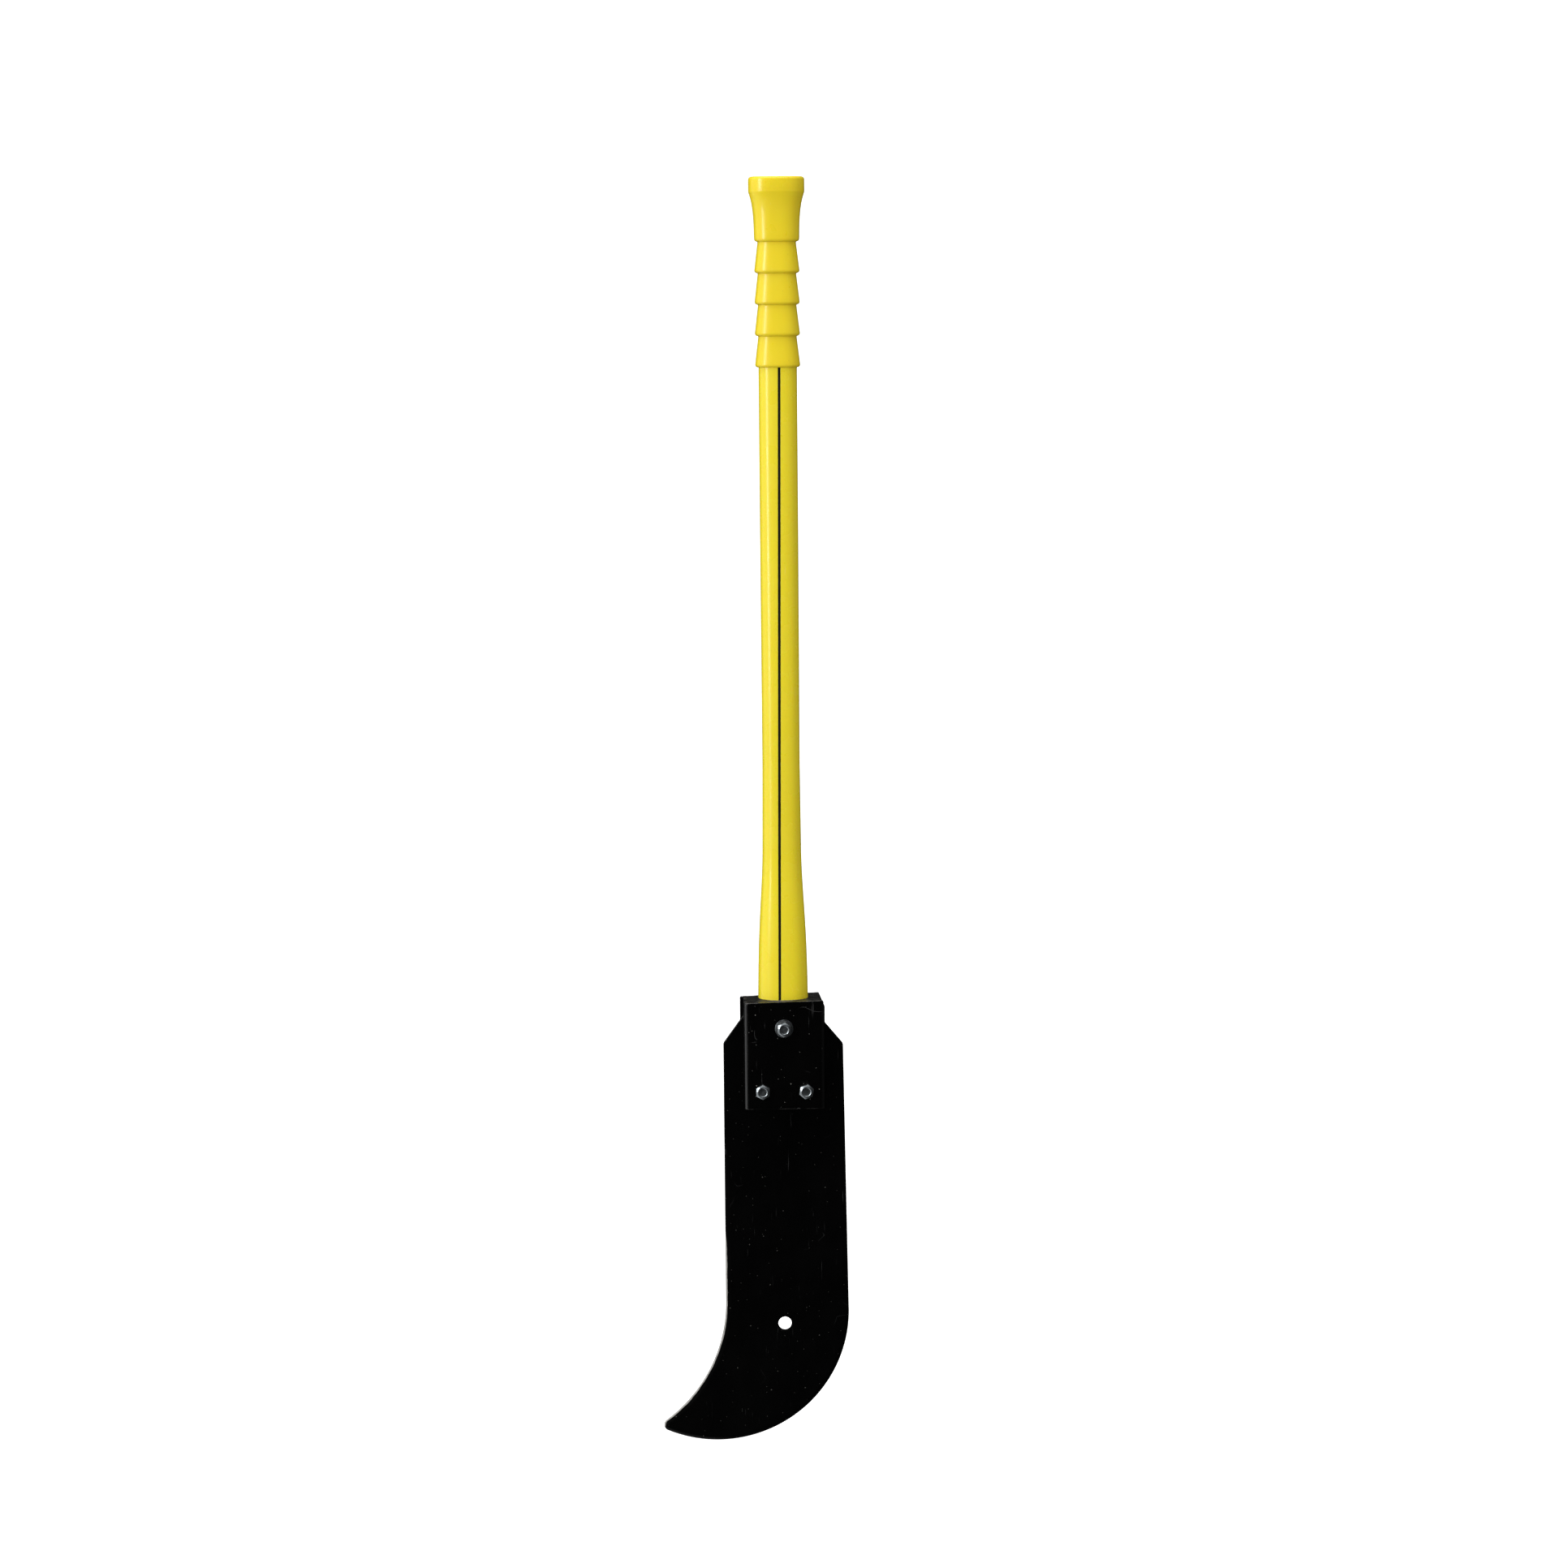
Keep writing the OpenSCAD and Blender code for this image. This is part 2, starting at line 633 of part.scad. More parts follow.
module top_lock_washer() { lock_washer(0, top_bolt_z, plate_back + washer_t); }
module hook_side_lock_washer() { lock_washer(-bolt_x, low_bolt_z, plate_back + washer_t); }
module belly_side_lock_washer() { lock_washer(bolt_x, low_bolt_z, plate_back + washer_t); }

module top_nut() { nut(0, top_bolt_z, 10); }
module hook_side_nut() { nut(-bolt_x, low_bolt_z, 41); }
module belly_side_nut() { nut(bolt_x, low_bolt_z, 22); }

blade();
front_housing();
back_plate();
potting();
handle_core();
handle_jacket();
handle_stripe();
grip();
top_bolt();
hook_side_bolt();
belly_side_bolt();
top_head_washer();
top_head_lock_washer();
top_washer();
hook_side_washer();
belly_side_washer();
top_lock_washer();
hook_side_lock_washer();
belly_side_lock_washer();
top_nut();
hook_side_nut();
belly_side_nut();
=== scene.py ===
"""Finished look of a bush hook: a hooked blade bolted to a steel housing on a long yellow handle.

All lengths are in metres, +Z runs up the handle and -Y is the front. The origin is the centre of
the blade's hang hole.
"""

import math

import bpy
import numpy as np
from bpy.props import FloatProperty, FloatVectorProperty, IntProperty, PointerProperty
from mathutils import Matrix, Vector
from mathutils.geometry import tessellate_polygon


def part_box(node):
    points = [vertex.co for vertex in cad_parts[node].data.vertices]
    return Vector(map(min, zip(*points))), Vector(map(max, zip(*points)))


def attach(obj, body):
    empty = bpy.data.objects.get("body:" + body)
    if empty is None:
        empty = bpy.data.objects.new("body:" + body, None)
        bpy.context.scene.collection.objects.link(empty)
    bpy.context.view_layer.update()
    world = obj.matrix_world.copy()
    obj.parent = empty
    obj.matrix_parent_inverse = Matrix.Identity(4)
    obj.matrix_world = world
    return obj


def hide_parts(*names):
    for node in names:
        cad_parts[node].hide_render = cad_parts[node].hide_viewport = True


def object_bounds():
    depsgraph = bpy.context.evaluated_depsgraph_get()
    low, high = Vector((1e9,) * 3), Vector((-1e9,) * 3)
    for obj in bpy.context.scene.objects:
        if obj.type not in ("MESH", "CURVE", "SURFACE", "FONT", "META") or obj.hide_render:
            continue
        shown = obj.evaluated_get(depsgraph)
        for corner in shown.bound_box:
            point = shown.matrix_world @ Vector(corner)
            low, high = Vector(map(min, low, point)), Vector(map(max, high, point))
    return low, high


bl_info = {
    "name": "Bush Hook",
    "version": (1, 0, 0),
    "blender": (4, 5, 0),
    "location": "View3D > Sidebar > Bush Hook",
    "description": "Builds the finished surfaces of a bush hook round its packed frame",
    "category": "Add Mesh",
}

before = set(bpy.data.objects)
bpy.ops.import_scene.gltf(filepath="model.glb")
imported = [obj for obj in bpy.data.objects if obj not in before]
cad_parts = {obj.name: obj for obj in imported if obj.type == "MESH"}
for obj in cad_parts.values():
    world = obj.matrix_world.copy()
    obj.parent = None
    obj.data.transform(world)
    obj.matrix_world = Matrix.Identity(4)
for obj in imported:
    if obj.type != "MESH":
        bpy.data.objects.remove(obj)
CAD_BOX = [list(corner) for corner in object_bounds()]

# Radius of the holes that the bolts pass through
BOLT_HOLE_RADIUS = 0.0043
# Turn in degrees of each bolt's head, and of its nut, about its own axis
BOLT_TURNS = {"top": (24, 10), "hook_side": (30, 41), "belly_side": (18, 22)}
# Where the two furrows in the filler run, in y, and their depth and width
FURROWS = (-0.0395, -0.0172)
FURROW_DEPTH, FURROW_WIDTH = 0.0005, 0.0006
# Heights at which the hook's bare strip starts and reaches its full width
BARE_TOP, BARE_FULL = 0.122, 0.065
# Greys of scratched lacquer, settled dust and lacquer rubbed thin, as sRGB codes
SCRATCHED, DUST, RUBBED = "6e6e70", "8c8a86", "6a6967"
# Power of the squared ellipse that is the handle's section
SQUARENESS = 2.6
# Heights at which the handle's flare ends, its waist lies and its width has grown to the grip's
FLARE_TOP, WAIST, NECK_TOP = 0.47, 0.55, 0.79
# Length of the flare's bell curve
FLARE_LENGTH = 0.07
# The waist's width and depth, and what neck, taper and flare add to the width
WAIST_WIDTH, WAIST_DEPTH = 0.0355, 0.031
NECK_GAIN, TAPER_GAIN, FLARE_GAIN = 0.0007, 0.0039, 0.0084
# Share of the gain in width that the depth gains
DEPTH_SHARE = 12 / 12.3


def linear(code):
    """Turns an sRGB colour given as six hex digits into linear red, green and blue."""
    parts = [int(code[i:i + 2], 16) / 255 for i in (0, 2, 4)]
    return [p / 12.92 if p <= 0.04045 else ((p + 0.055) / 1.055) ** 2.4 for p in parts]


def low(node):
    """Lowest corner of a CAD node's box as an array."""
    return np.array(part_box(node)[0])


def high(node):
    """Highest corner of a CAD node's box as an array."""
    return np.array(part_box(node)[1])


# ---------------------------------------------------------------- settings


def length(name, description, default, **more):
    return FloatProperty(name=name, description=description, default=default,
                         subtype="DISTANCE", unit="LENGTH", precision=5, **more)


def colour(name, description, code):
    return FloatVectorProperty(name=name, description=description, default=linear(code),
                               subtype="COLOR", size=3, min=0, max=1)


class BladeSettings(bpy.types.PropertyGroup):
    """Sizes and colours of the blade."""

    hook_side: length("Hook side", "Distance from the handle line to the hook-side edge", 0.0574)
    belly_side: length("Belly side", "Distance from the handle line to the belly-side edge",
                       float(high("blade")[0]))
    belly_taper: length("Belly taper", "How much narrower the belly side is at the shoulder",
                        0.004)
    hook_shoulder: length("Hook shoulder", "Height of the hook-side shoulder corner", 0.2774)
    belly_shoulder: length("Belly shoulder", "Height of the belly-side shoulder corner", 0.2756)
    hook_radius: length("Hook radius", "Radius of the hook's hollow arc", 0.1455)
    hook_height: length("Hook height", "Height at which the hook's arc starts", 0.0224)
    belly_radius: length("Belly radius", "Radius of the round belly", 0.1274)
    belly_height: length("Belly height", "Height of the belly circle's centre", 0.012)
    tip_radius: length("Point radius", "Radius of the hook's point", 0.0062)
    bevel: length("Long bevel", "Width of the ground bevel on the long edges", 0.005)
    belly_bevel: length("Belly bevel", "Width of the ground bevel round the belly", 0.0036)
    bevel_start: length("Bevel start", "Height at which the bevels start", 0.177)
    hole_radius: length("Hang hole", "Radius of the hang hole", 0.0065)
    bare_width: length("Bare edge", "Width of the edge worn bright at its silhouette", 0.0016)
    hone: length("Honed edge", "Width of the steeper bevel honed along the edge", 0.0012)
    paint: colour("Lacquer", "Colour of the black lacquer", "020202")
    # The bare steel colour is partly a painted sheen: the honed edge shows it as a pale, mostly
    # non-metallic colour
    bare_steel_sheen: colour("Bare steel", "Colour of the steel where the lacquer has gone", "b9b7b3")


class HousingSettings(bpy.types.PropertyGroup):
    """Sizes and colours of the housing, the plate behind the blade and the filler."""

    wall: length("Steel", "Thickness of the folded steel", 0.0034)
    bend: length("Bend radius", "Outside radius of the two bends", 0.005)
    cut_edge: length("Cut edge", "Rounding of the sheared edges", 0.0005)
    height: length("Height", "Height at the front hook-side corner", 0.1026)
    rim_rise: length("Rim rise", "How much higher the rim is on the belly side", 0.002)
    rim_dip: length("Rim dip", "How much lower the rim is at the back", 0.0013)
    plate_height: length("Plate height", "Height of the back plate on the hook side", 0.1)
    plate_rise: length("Plate rise", "How much the plate's upper edge rises", 0.0034)
    clip_width: length("Clip width", "Width of the plate's clipped corner", 0.0058)
    clip_height: length("Clip height", "Height of the plate's clipped corner", 0.014)
    wall_clip: length("Wall clip", "How far the belly-side wall's back corner is cut down",
                      0.0075)
    filler_drop: length("Filler drop", "How far the filler lies below the rim at the walls",
                        0.0008)
    paint: colour("Lacquer", "Colour of the black lacquer", "020202")
    filler: colour("Filler", "Colour of the resin filler", "161615")
    smear: colour("Smear", "Colour of the crumbs where the filler meets the handle", "a88d3a")


class HandleSettings(bpy.types.PropertyGroup):
    """Sizes and colours of the handle and its grip."""

    stripe: length("Stripe width", "Width of the inlaid stripe", 0.0024)
    stripe_top: length("Stripe top", "Where the stripe's upper end lies", 0.0009)
    stripe_low: length("Stripe foot", "Where the stripe's lower end lies", -0.0037)
    seam: length("Seam height", "Height of the mould seam down each side of the grip", 0.00012)
    columns: IntProperty(name="Columns", description="Points round the handle", default=96,
                         min=24, max=256)
    yellow: colour("Handle yellow", "Colour of the moulded jacket", "fae52a")
    grip_yellow: colour("Grip yellow", "Colour of the moulded grip", "f8de22")
    stripe_black: colour("Stripe", "Colour of the inlaid stripe", "1c1b0d")
    glass: colour("Fibreglass", "Colour of the core", "c9bd93")


class FastenerSettings(bpy.types.PropertyGroup):
    """Sizes and colours of the bolts, nuts and washers."""

    shank: length("Shank radius", "Radius of a bolt", 0.00397)
    flats: length("Across flats", "Width of heads and nuts across their flats", 0.0127)
    head: length("Head height", "Height of a bolt head", 0.0053)
    face: length("Face radius", "Radius of a bolt head's flat face", 0.0048)
    dish: length("Dish radius", "Radius of the dish in a bolt head", 0.0042)
    pitch: length("Thread pitch", "Distance from one thread to the next", 0.00141)
    thread: length("Thread depth", "Depth of the thread", 0.0007)
    threaded: length("Threaded length", "Length of thread on a bolt", 0.026)
    split: length("Split", "Width of a lock washer's split", 0.0016)
    zinc: colour("Zinc", "Colour of bright zinc plate", "b5bdc1")
    spring: colour("Spring steel", "Colour of a lock washer's plating", "8f9294")


class StageSettings(bpy.types.PropertyGroup):
    """Camera, light and floor."""

    lens: FloatProperty(name="Lens", description="Focal length", default=96.43, unit="CAMERA")
    camera: FloatVectorProperty(name="Camera", description="Where the camera stands",
                                default=(-0.1117, -3.9984, 1.0), subtype="TRANSLATION")
    aim: FloatVectorProperty(name="Aim", description="Point that the camera looks at",
                             default=(0.003375, 0.0, 0.5283), subtype="TRANSLATION")
    roll: FloatProperty(name="Roll", description="Tilt of the camera about its axis",
                        default=-0.008478, subtype="ANGLE", precision=5)
    key: FloatProperty(name="Key light", description="Power of the tall light on the left",
                       default=56, unit="POWER")
    top: FloatProperty(name="Top light", description="Power of the light overhead",
                       default=30, unit="POWER")
    fill: FloatProperty(name="Fill light", description="Power of the light on the right",
                        default=9, unit="POWER")
    sky: FloatProperty(name="Ambient", description="Strength of the even light all round",
                       default=0.66, min=0)
    floor: colour("Floor", "Colour of the floor", "f4f4f3")


# ---------------------------------------------------------------- materials


def add(tree, kind, inputs=None, **settings):
    """Adds one shader node; an input given as a socket is linked and any other value is set."""
    node = tree.nodes.new("ShaderNode" + kind)
    for key, value in settings.items():
        setattr(node, key, value)
    for key, value in (inputs or {}).items():
        if isinstance(value, bpy.types.NodeSocket):
            tree.links.new(value, node.inputs[key])
        else:
            node.inputs[key].default_value = value
    return node


def maths(tree, operation, *values):
    """One arithmetic node's result for the values given in order."""
    return add(tree, "Math", dict(enumerate(values)), operation=operation).outputs[0]


def span(tree, value, start, end, to_start=0.0, to_end=1.0):
    """Maps a value from one range to another with a smooth step, held at both ends."""
    inputs = {"Value": value, 1: start, 2: end, 3: to_start, 4: to_end}
    return add(tree, "MapRange", inputs, interpolation_type="SMOOTHSTEP").outputs[0]


def tint(tree, factor, a, b):
    """Mixes two colours, each a socket or a linear colour."""
    a = a if isinstance(a, bpy.types.NodeSocket) else (*a, 1)
    b = b if isinstance(b, bpy.types.NodeSocket) else (*b, 1)
    return add(tree, "Mix", {0: factor, 6: a, 7: b}, data_type="RGBA").outputs[2]


def place(tree, scale=(1, 1, 1), turn=(0, 0, 0)):
    """Object coordinates in metres, stretched and turned for a pattern."""
    spot = add(tree, "TexCoord").outputs["Object"]
    inputs = {"Vector": spot, "Scale": scale, "Rotation": turn}
    return add(tree, "Mapping", inputs).outputs["Vector"]


def noise(tree, where, scale, detail=3.0, roughness=0.5):
    """Soft noise with so many features to the metre."""
    inputs = {"Vector": where, "Scale": scale, "Detail": detail, "Roughness": roughness}
    return add(tree, "TexNoise", inputs).outputs["Fac"]


def cells(tree, where, scale, size):
    """Round specks, one to a cell, on about one cell in six; size is a share of the cell."""
    dots = add(tree, "TexVoronoi", {"Vector": where, "Scale": scale})
    shade = add(tree, "SeparateColor", {"Color": dots.outputs["Color"]}).outputs[0]
    rare = span(tree, shade, 0.83, 0.87)
    return maths(tree, "MULTIPLY", span(tree, dots.outputs["Distance"], size, size * 0.5), rare)


def bump(tree, height, strength, distance, under=None):
    """Bump of a height pattern; distance is the height in metres that the pattern stands for."""
    inputs = {"Strength": strength, "Distance": distance, "Height": height}
    if under is not None:
        inputs["Normal"] = under
    return add(tree, "Bump", inputs).outputs["Normal"]


def new_material(name):
    """A material with only its output, and its node tree."""
    material = bpy.data.materials.new(name)
    material.use_nodes = True
    tree = material.node_tree
    tree.nodes.clear()
    return material, tree


def surface(tree, inputs):
    """The principled shader, joined to the material's output."""
    shader = add(tree, "BsdfPrincipled", inputs)
    add(tree, "OutputMaterial", {"Surface": shader.outputs[0]})
    return shader


def streaks(tree, across, along, turn, start, end):
    """Hairline scratches: noise drawn out along one direction and cut to its highest crests."""
    where = place(tree, (across, across, along), turn)
    return span(tree, noise(tree, where, 1.0, 2.0), start, end)


def lacquer_material(name, paint, wear, bare_steel_sheen=None, bare_width=0.0):
    """Black dipped lacquer over rolled steel: soft gloss with an orange-peel skin, hairline
    scratches and dust specks as strong as the wear, and rubbed cut edges. Where bare is given,
    the hook's ground edge shows bright steel."""
    material, tree = new_material(name)
    spot = place(tree)
    # Scratches run mostly along the tool, with a few across it from brush and racks
    patches = span(tree, noise(tree, spot, 22.0, 2.0), 0.48, 0.66)
    lengthwise = streaks(tree, 620, 24, (0, math.radians(7), 0), 0.68, 0.74)
    slanted = streaks(tree, 700, 40, (0, math.radians(-38), 0), 0.70, 0.76)
    # Curling hairlines follow one level of a slow noise
    level = maths(tree, "ABSOLUTE", maths(tree, "SUBTRACT", noise(tree, spot, 42.0, 1.0), 0.5))
    curl = maths(tree, "MULTIPLY", span(tree, level, 0.006, 0.002, 0.0, 0.5),
                 span(tree, noise(tree, spot, 31.0, 1.0), 0.64, 0.70))
    marks = maths(tree, "MULTIPLY", maths(tree, "MAXIMUM", lengthwise, slanted), patches)
    marks = maths(tree, "MAXIMUM", marks, curl)
    specks = maths(tree, "MAXIMUM", cells(tree, spot, 150, 0.10), cells(tree, spot, 330, 0.13))
    edge = add(tree, "Attribute", attribute_name="edge").outputs["Fac"]
    # Lacquer is rubbed thin on the last half millimetre of every cut edge
    ragged = maths(tree, "MULTIPLY", noise(tree, spot, 900, 4.0), 0.0009)
    rubbed = span(tree, maths(tree, "ADD", edge, ragged), 0.0011, 0.0005)
    rubbed = maths(tree, "MULTIPLY", rubbed, span(tree, noise(tree, spot, 60, 3.0), 0.42, 0.62))
    smut = span(tree, noise(tree, spot, 9.0, 5.0, 0.6), 0.35, 0.75)
    base = tint(tree, smut, paint, [c * 1.6 + 0.0003 for c in paint])
    base = tint(tree, maths(tree, "MULTIPLY", marks, 0.36 * wear), base, linear(SCRATCHED))
    base = tint(tree, maths(tree, "MULTIPLY", specks, 0.6 * wear), base, linear(DUST))
    base = tint(tree, maths(tree, "MULTIPLY", rubbed, 0.5), base, linear(RUBBED))
    rough = span(tree, noise(tree, spot, 38.0, 4.0), 0.3, 0.7, 0.15, 0.22)
    rough = maths(tree, "ADD", rough, maths(tree, "MULTIPLY", marks, 0.2 * wear))
    metal = maths(tree, "MULTIPLY", rubbed, 0.25)
    peel = bump(tree, noise(tree, spot, 620, 2.0), 0.15, 0.00004)
    flat = bump(tree, noise(tree, spot, 17.0, 2.0), 0.16, 0.0005, peel)
    normal = bump(tree, marks, 0.25 * wear, 0.00003, flat)
    if bare_steel_sheen is not None:
        # Bright steel on the hollow of the hook, where the edge has been honed. Its pale colour is
        # partly a painted sheen that stands in for the lamp's reflection off the honed edge
        parts = add(tree, "SeparateXYZ", {"Vector": spot})
        wander = maths(tree, "MULTIPLY", noise(tree, spot, 110, 3.0), bare_width * 0.9)
        # The bare strip starts as a line and widens down the hook
        narrow = span(tree, parts.outputs["Z"], BARE_TOP, BARE_FULL, bare_width * 1.6, 0.0)
        reach = maths(tree, "ADD", edge, maths(tree, "ADD", wander, narrow))
        worn = span(tree, reach, bare_width * 1.55, bare_width * 1.25)
        left = span(tree, parts.outputs["X"], -0.045, -0.050)
        # The hollow side faces away from the belly, which drops below this slanting line
        above = span(tree, maths(tree, "ADD", parts.outputs["Z"],
                                 maths(tree, "MULTIPLY", parts.outputs["X"], -0.9)),
                     0.004, 0.006)
        worn = maths(tree, "MULTIPLY", worn, maths(tree, "MULTIPLY", left, above))
        grain = streaks(tree, 2600, 160, (0, math.radians(70), 0), 0.3, 0.7)
        steel = tint(tree, grain, bare_steel_sheen, [c * 0.7 for c in bare_steel_sheen])
        base = tint(tree, worn, base, steel)
        # Grinding leaves the steel matt, and the steel gets little metal, so its pale colour shows
        # as a painted sheen rather than as a mirror
        rough = maths(tree, "ADD", rough, maths(tree, "MULTIPLY", worn, 0.32))
        metal = maths(tree, "MAXIMUM", metal, maths(tree, "MULTIPLY", worn, 0.25))
    surface(tree, {"Base Color": base, "Roughness": rough, "Metallic": metal,
                   "Normal": normal})
    return material


def yellow_material(name, yellow, along, rough, coat):
    """Glossy moulded yellow polymer: slight clouding of the pigment, dust specks, rubbed dull
    patches, and faint flow lines along the handle as strong as along. Roughness starts at rough
    and a clear skin of the given weight lies on top."""
    material, tree = new_material(name)
    spot = place(tree)
    cloud = noise(tree, place(tree, (30, 30, 5)), 1.0, 4.0)
    base = tint(tree, span(tree, cloud, 0.25, 0.75), [c * 0.975 for c in yellow],
                [min(1.0, c * 1.02) for c in yellow])
    specks = cells(tree, spot, 190, 0.07)
    base = tint(tree, maths(tree, "MULTIPLY", specks, 0.35), base, linear("6b5a1c"))
    scuff = maths(tree, "MULTIPLY", streaks(tree, 900, 30, (0.1, 0.15, 0), 0.68, 0.75),
                  span(tree, noise(tree, spot, 25, 2.0), 0.48, 0.64))
    base = tint(tree, maths(tree, "MULTIPLY", scuff, 0.22), base, linear("fff6a8"))
    rough = span(tree, noise(tree, spot, 45, 4.0), 0.3, 0.72, rough, rough + 0.1)
    rough = maths(tree, "ADD", rough, maths(tree, "MULTIPLY", scuff, 0.15))
    peel = bump(tree, noise(tree, spot, 420, 2.0), 0.12, 0.00003)
    flow = bump(tree, noise(tree, place(tree, (420, 420, 9)), 1.0, 2.0), along, 0.00005, peel)
    normal = bump(tree, noise(tree, place(tree, (9, 9, 26)), 1.0, 1.0), 0.12, 0.0003, flow)
    # Light bleeds a little way through the polymer and comes out warmer
    surface(tree, {"Base Color": base, "Roughness": rough, "Normal": normal,
                   "Coat Weight": coat, "Coat Roughness": 0.14, "Subsurface Weight": 0.15,
                   "Subsurface Radius": (1.0, 0.5, 0.1), "Subsurface Scale": 0.003})
    return material


def stripe_material(name, black):
    """Black resin inlay, slightly duller than the jacket, with yellow bleeding into its edges."""
    material, tree = new_material(name)
    spot = place(tree)
    fleck = span(tree, noise(tree, place(tree, (700, 700, 60)), 1.0, 4.0), 0.62, 0.74)
    base = tint(tree, maths(tree, "MULTIPLY", fleck, 0.35), black, linear("6a611f"))
    rough = span(tree, noise(tree, spot, 90, 3.0), 0.3, 0.7, 0.28, 0.42)
    normal = bump(tree, noise(tree, place(tree, (500, 500, 40)), 1.0, 3.0), 0.3, 0.0001)
    surface(tree, {"Base Color": base, "Roughness": rough, "Normal": normal})
    return material


def resin_material(name, tone, smear):
    """Poured black resin: glossy, a little uneven, with small burst bubbles, and smeared with
    crumbs of the jacket's yellow where it meets the handle."""
    material, tree = new_material(name)
    spot = place(tree)
    bubbles = cells(tree, spot, 330, 0.16)
    cloud = span(tree, noise(tree, spot, 70, 4.0), 0.3, 0.7)
    base = tint(tree, cloud, tone, [c * 2.0 for c in tone])
    near = span(tree, add(tree, "Attribute", attribute_name="edge").outputs["Fac"], 0.0012, 0.0002)
    crumbs = maths(tree, "MULTIPLY", near, span(tree, noise(tree, spot, 900, 4.0), 0.46, 0.6))
    base = tint(tree, maths(tree, "MULTIPLY", crumbs, 0.75), base, smear)
    rough = span(tree, noise(tree, spot, 120, 3.0), 0.3, 0.7, 0.22, 0.42)
    swell = bump(tree, noise(tree, spot, 130, 2.0), 0.45, 0.0006)
    normal = bump(tree, bubbles, -0.6, 0.0004, swell)
    surface(tree, {"Base Color": base, "Roughness": rough, "Normal": normal})
    return material


def plating_material(name, zinc, rough_low, rough_high):
    """Zinc plate on forged steel: bright, faintly blue, with dull bloom and fine die marks."""
    material, tree = new_material(name)
    spot = place(tree)
    bloom = span(tree, noise(tree, spot, 230, 5.0, 0.6), 0.35, 0.7)
    base = tint(tree, bloom, zinc, [c * 0.62 for c in zinc])
    stain = maths(tree, "MULTIPLY", span(tree, noise(tree, spot, 480, 3.0), 0.55, 0.72), 0.4)
    base = tint(tree, stain, base, linear("8d8676"))
    rough = maths(tree, "ADD", span(tree, bloom, 0, 1, rough_low, rough_high),
                  maths(tree, "MULTIPLY", stain, 0.2))
    pits = bump(tree, noise(tree, spot, 1900, 3.0), 0.12, 0.00003)
    normal = bump(tree, noise(tree, spot, 260, 2.0), 0.1, 0.0001, pits)
    surface(tree, {"Base Color": base, "Roughness": rough, "Metallic": 1.0, "Normal": normal})
    return material


def glass_fibre_material(name, tone):
    """Pulled glass fibre in resin: pale, with fibre bundles running along the rod."""
    material, tree = new_material(name)
    fibres = noise(tree, place(tree, (1600, 1600, 14)), 1.0, 4.0, 0.6)
    base = tint(tree, span(tree, fibres, 0.3, 0.7), tone, [c * 0.7 for c in tone])
    rough = span(tree, fibres, 0.3, 0.7, 0.35, 0.55)
    surface(tree, {"Base Color": base, "Roughness": rough,
                   "Normal": bump(tree, fibres, 0.4, 0.0001)})
    return material


def floor_material(name, tone):
    """Matt painted studio floor."""
    material, tree = new_material(name)
    mottle = noise(tree, place(tree), 3.0, 2.0)
    base = tint(tree, mottle, tone, [c * 0.99 for c in tone])
    surface(tree, {"Base Color": base, "Roughness": 0.9, "Emission Color": (1, 1, 1, 1),
                   "Emission Strength": 0.75})
    return material


# ---------------------------------------------------------------- mesh building


def skin(grid, wrap=True, first=0):
    """Quads between neighbouring rows of a grid of points. A wrapped grid also joins its last
    column to its first. Rows that turn anticlockwise about the way they advance face outwards."""
    rows, columns = grid.shape[:2]
    index = np.arange(rows * columns).reshape(rows, columns) + first
    if wrap:
        index = np.concatenate([index, index[:, :1]], 1)
    corners = (index[:-1, :-1], index[:-1, 1:], index[1:, 1:], index[1:, :-1])
    return np.stack(corners, -1).reshape(-1, 4).tolist()


def capped(grid):
    """Quads of a wrapped grid, with a flat face across its first row and one across its last."""
    count = grid.shape[1]
    last = (len(grid) - 1) * count
    return skin(grid) + [list(range(count - 1, -1, -1)), list(range(last, last + count))]


def make(name, points, faces, material, nodes, flat_from=None, edge=None, sharp=40):
    """Puts points and faces into a new mesh, shades it smooth apart from sharp corners and the
    flat faces at the end of the list, and sets the piece on the tool in place of its nodes."""
    mesh = bpy.data.meshes.new(name)
    mesh.from_pydata(points.reshape(-1, 3).tolist(), [], faces)
    mesh.shade_smooth()
    mesh.set_sharp_from_angle(angle=math.radians(sharp))
    if flat_from is not None:
        smooth = np.arange(len(mesh.polygons)) < flat_from
        mesh.polygons.foreach_set("use_smooth", smooth)
    if edge is not None:
        layer = mesh.attributes.new("edge", "FLOAT", "POINT")
        layer.data.foreach_set("value", np.asarray(edge, np.float32).ravel())
    mesh.validate()
    mesh.update()
    mesh.materials.append(material)
    piece = bpy.data.objects.new(name, mesh)
    bpy.context.scene.collection.objects.link(piece)
    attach(piece, "root")
    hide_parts(*nodes)
    return piece


def ring_points(angles, a, b, z, middle):
    """A squared ellipse: half width a times cos to the power 2/n, half depth b times sin to the
    same power, both with their signs, at height z. Inputs broadcast against each other."""
    k = 2 / SQUARENESS
    c, s = np.cos(angles), np.sin(angles)
    x = a * np.sign(c) * np.abs(c) ** k
    y = middle + b * np.sign(s) * np.abs(s) ** k
    return np.stack(np.broadcast_arrays(x, y, z), -1)


def arc(centre, radius, start, end, count, inward):
    """Points of a circle's arc, centre plus radius along each angle, with their normals into
    the plate: inward is -1 round a convex edge and 1 round a hollow one. Angles in degrees."""
    angle = np.radians(np.linspace(start, end, count))
    way = np.stack([np.cos(angle), np.sin(angle)], 1)
    return np.asarray(centre) + radius * way, inward * way


def corner(point, radius, start, end, count):
    """A convex corner rounded to a radius between edges whose outward normals are at the two
    angles, in degrees: the arc's centre lies radius over cos of half the turn inside it."""
    middle, half = math.radians((start + end) / 2), math.radians((end - start) / 2)
    inside = radius / math.cos(half) * np.array([math.cos(middle), math.sin(middle)])
    return arc(np.asarray(point) - inside, radius, start, end, count, -1)


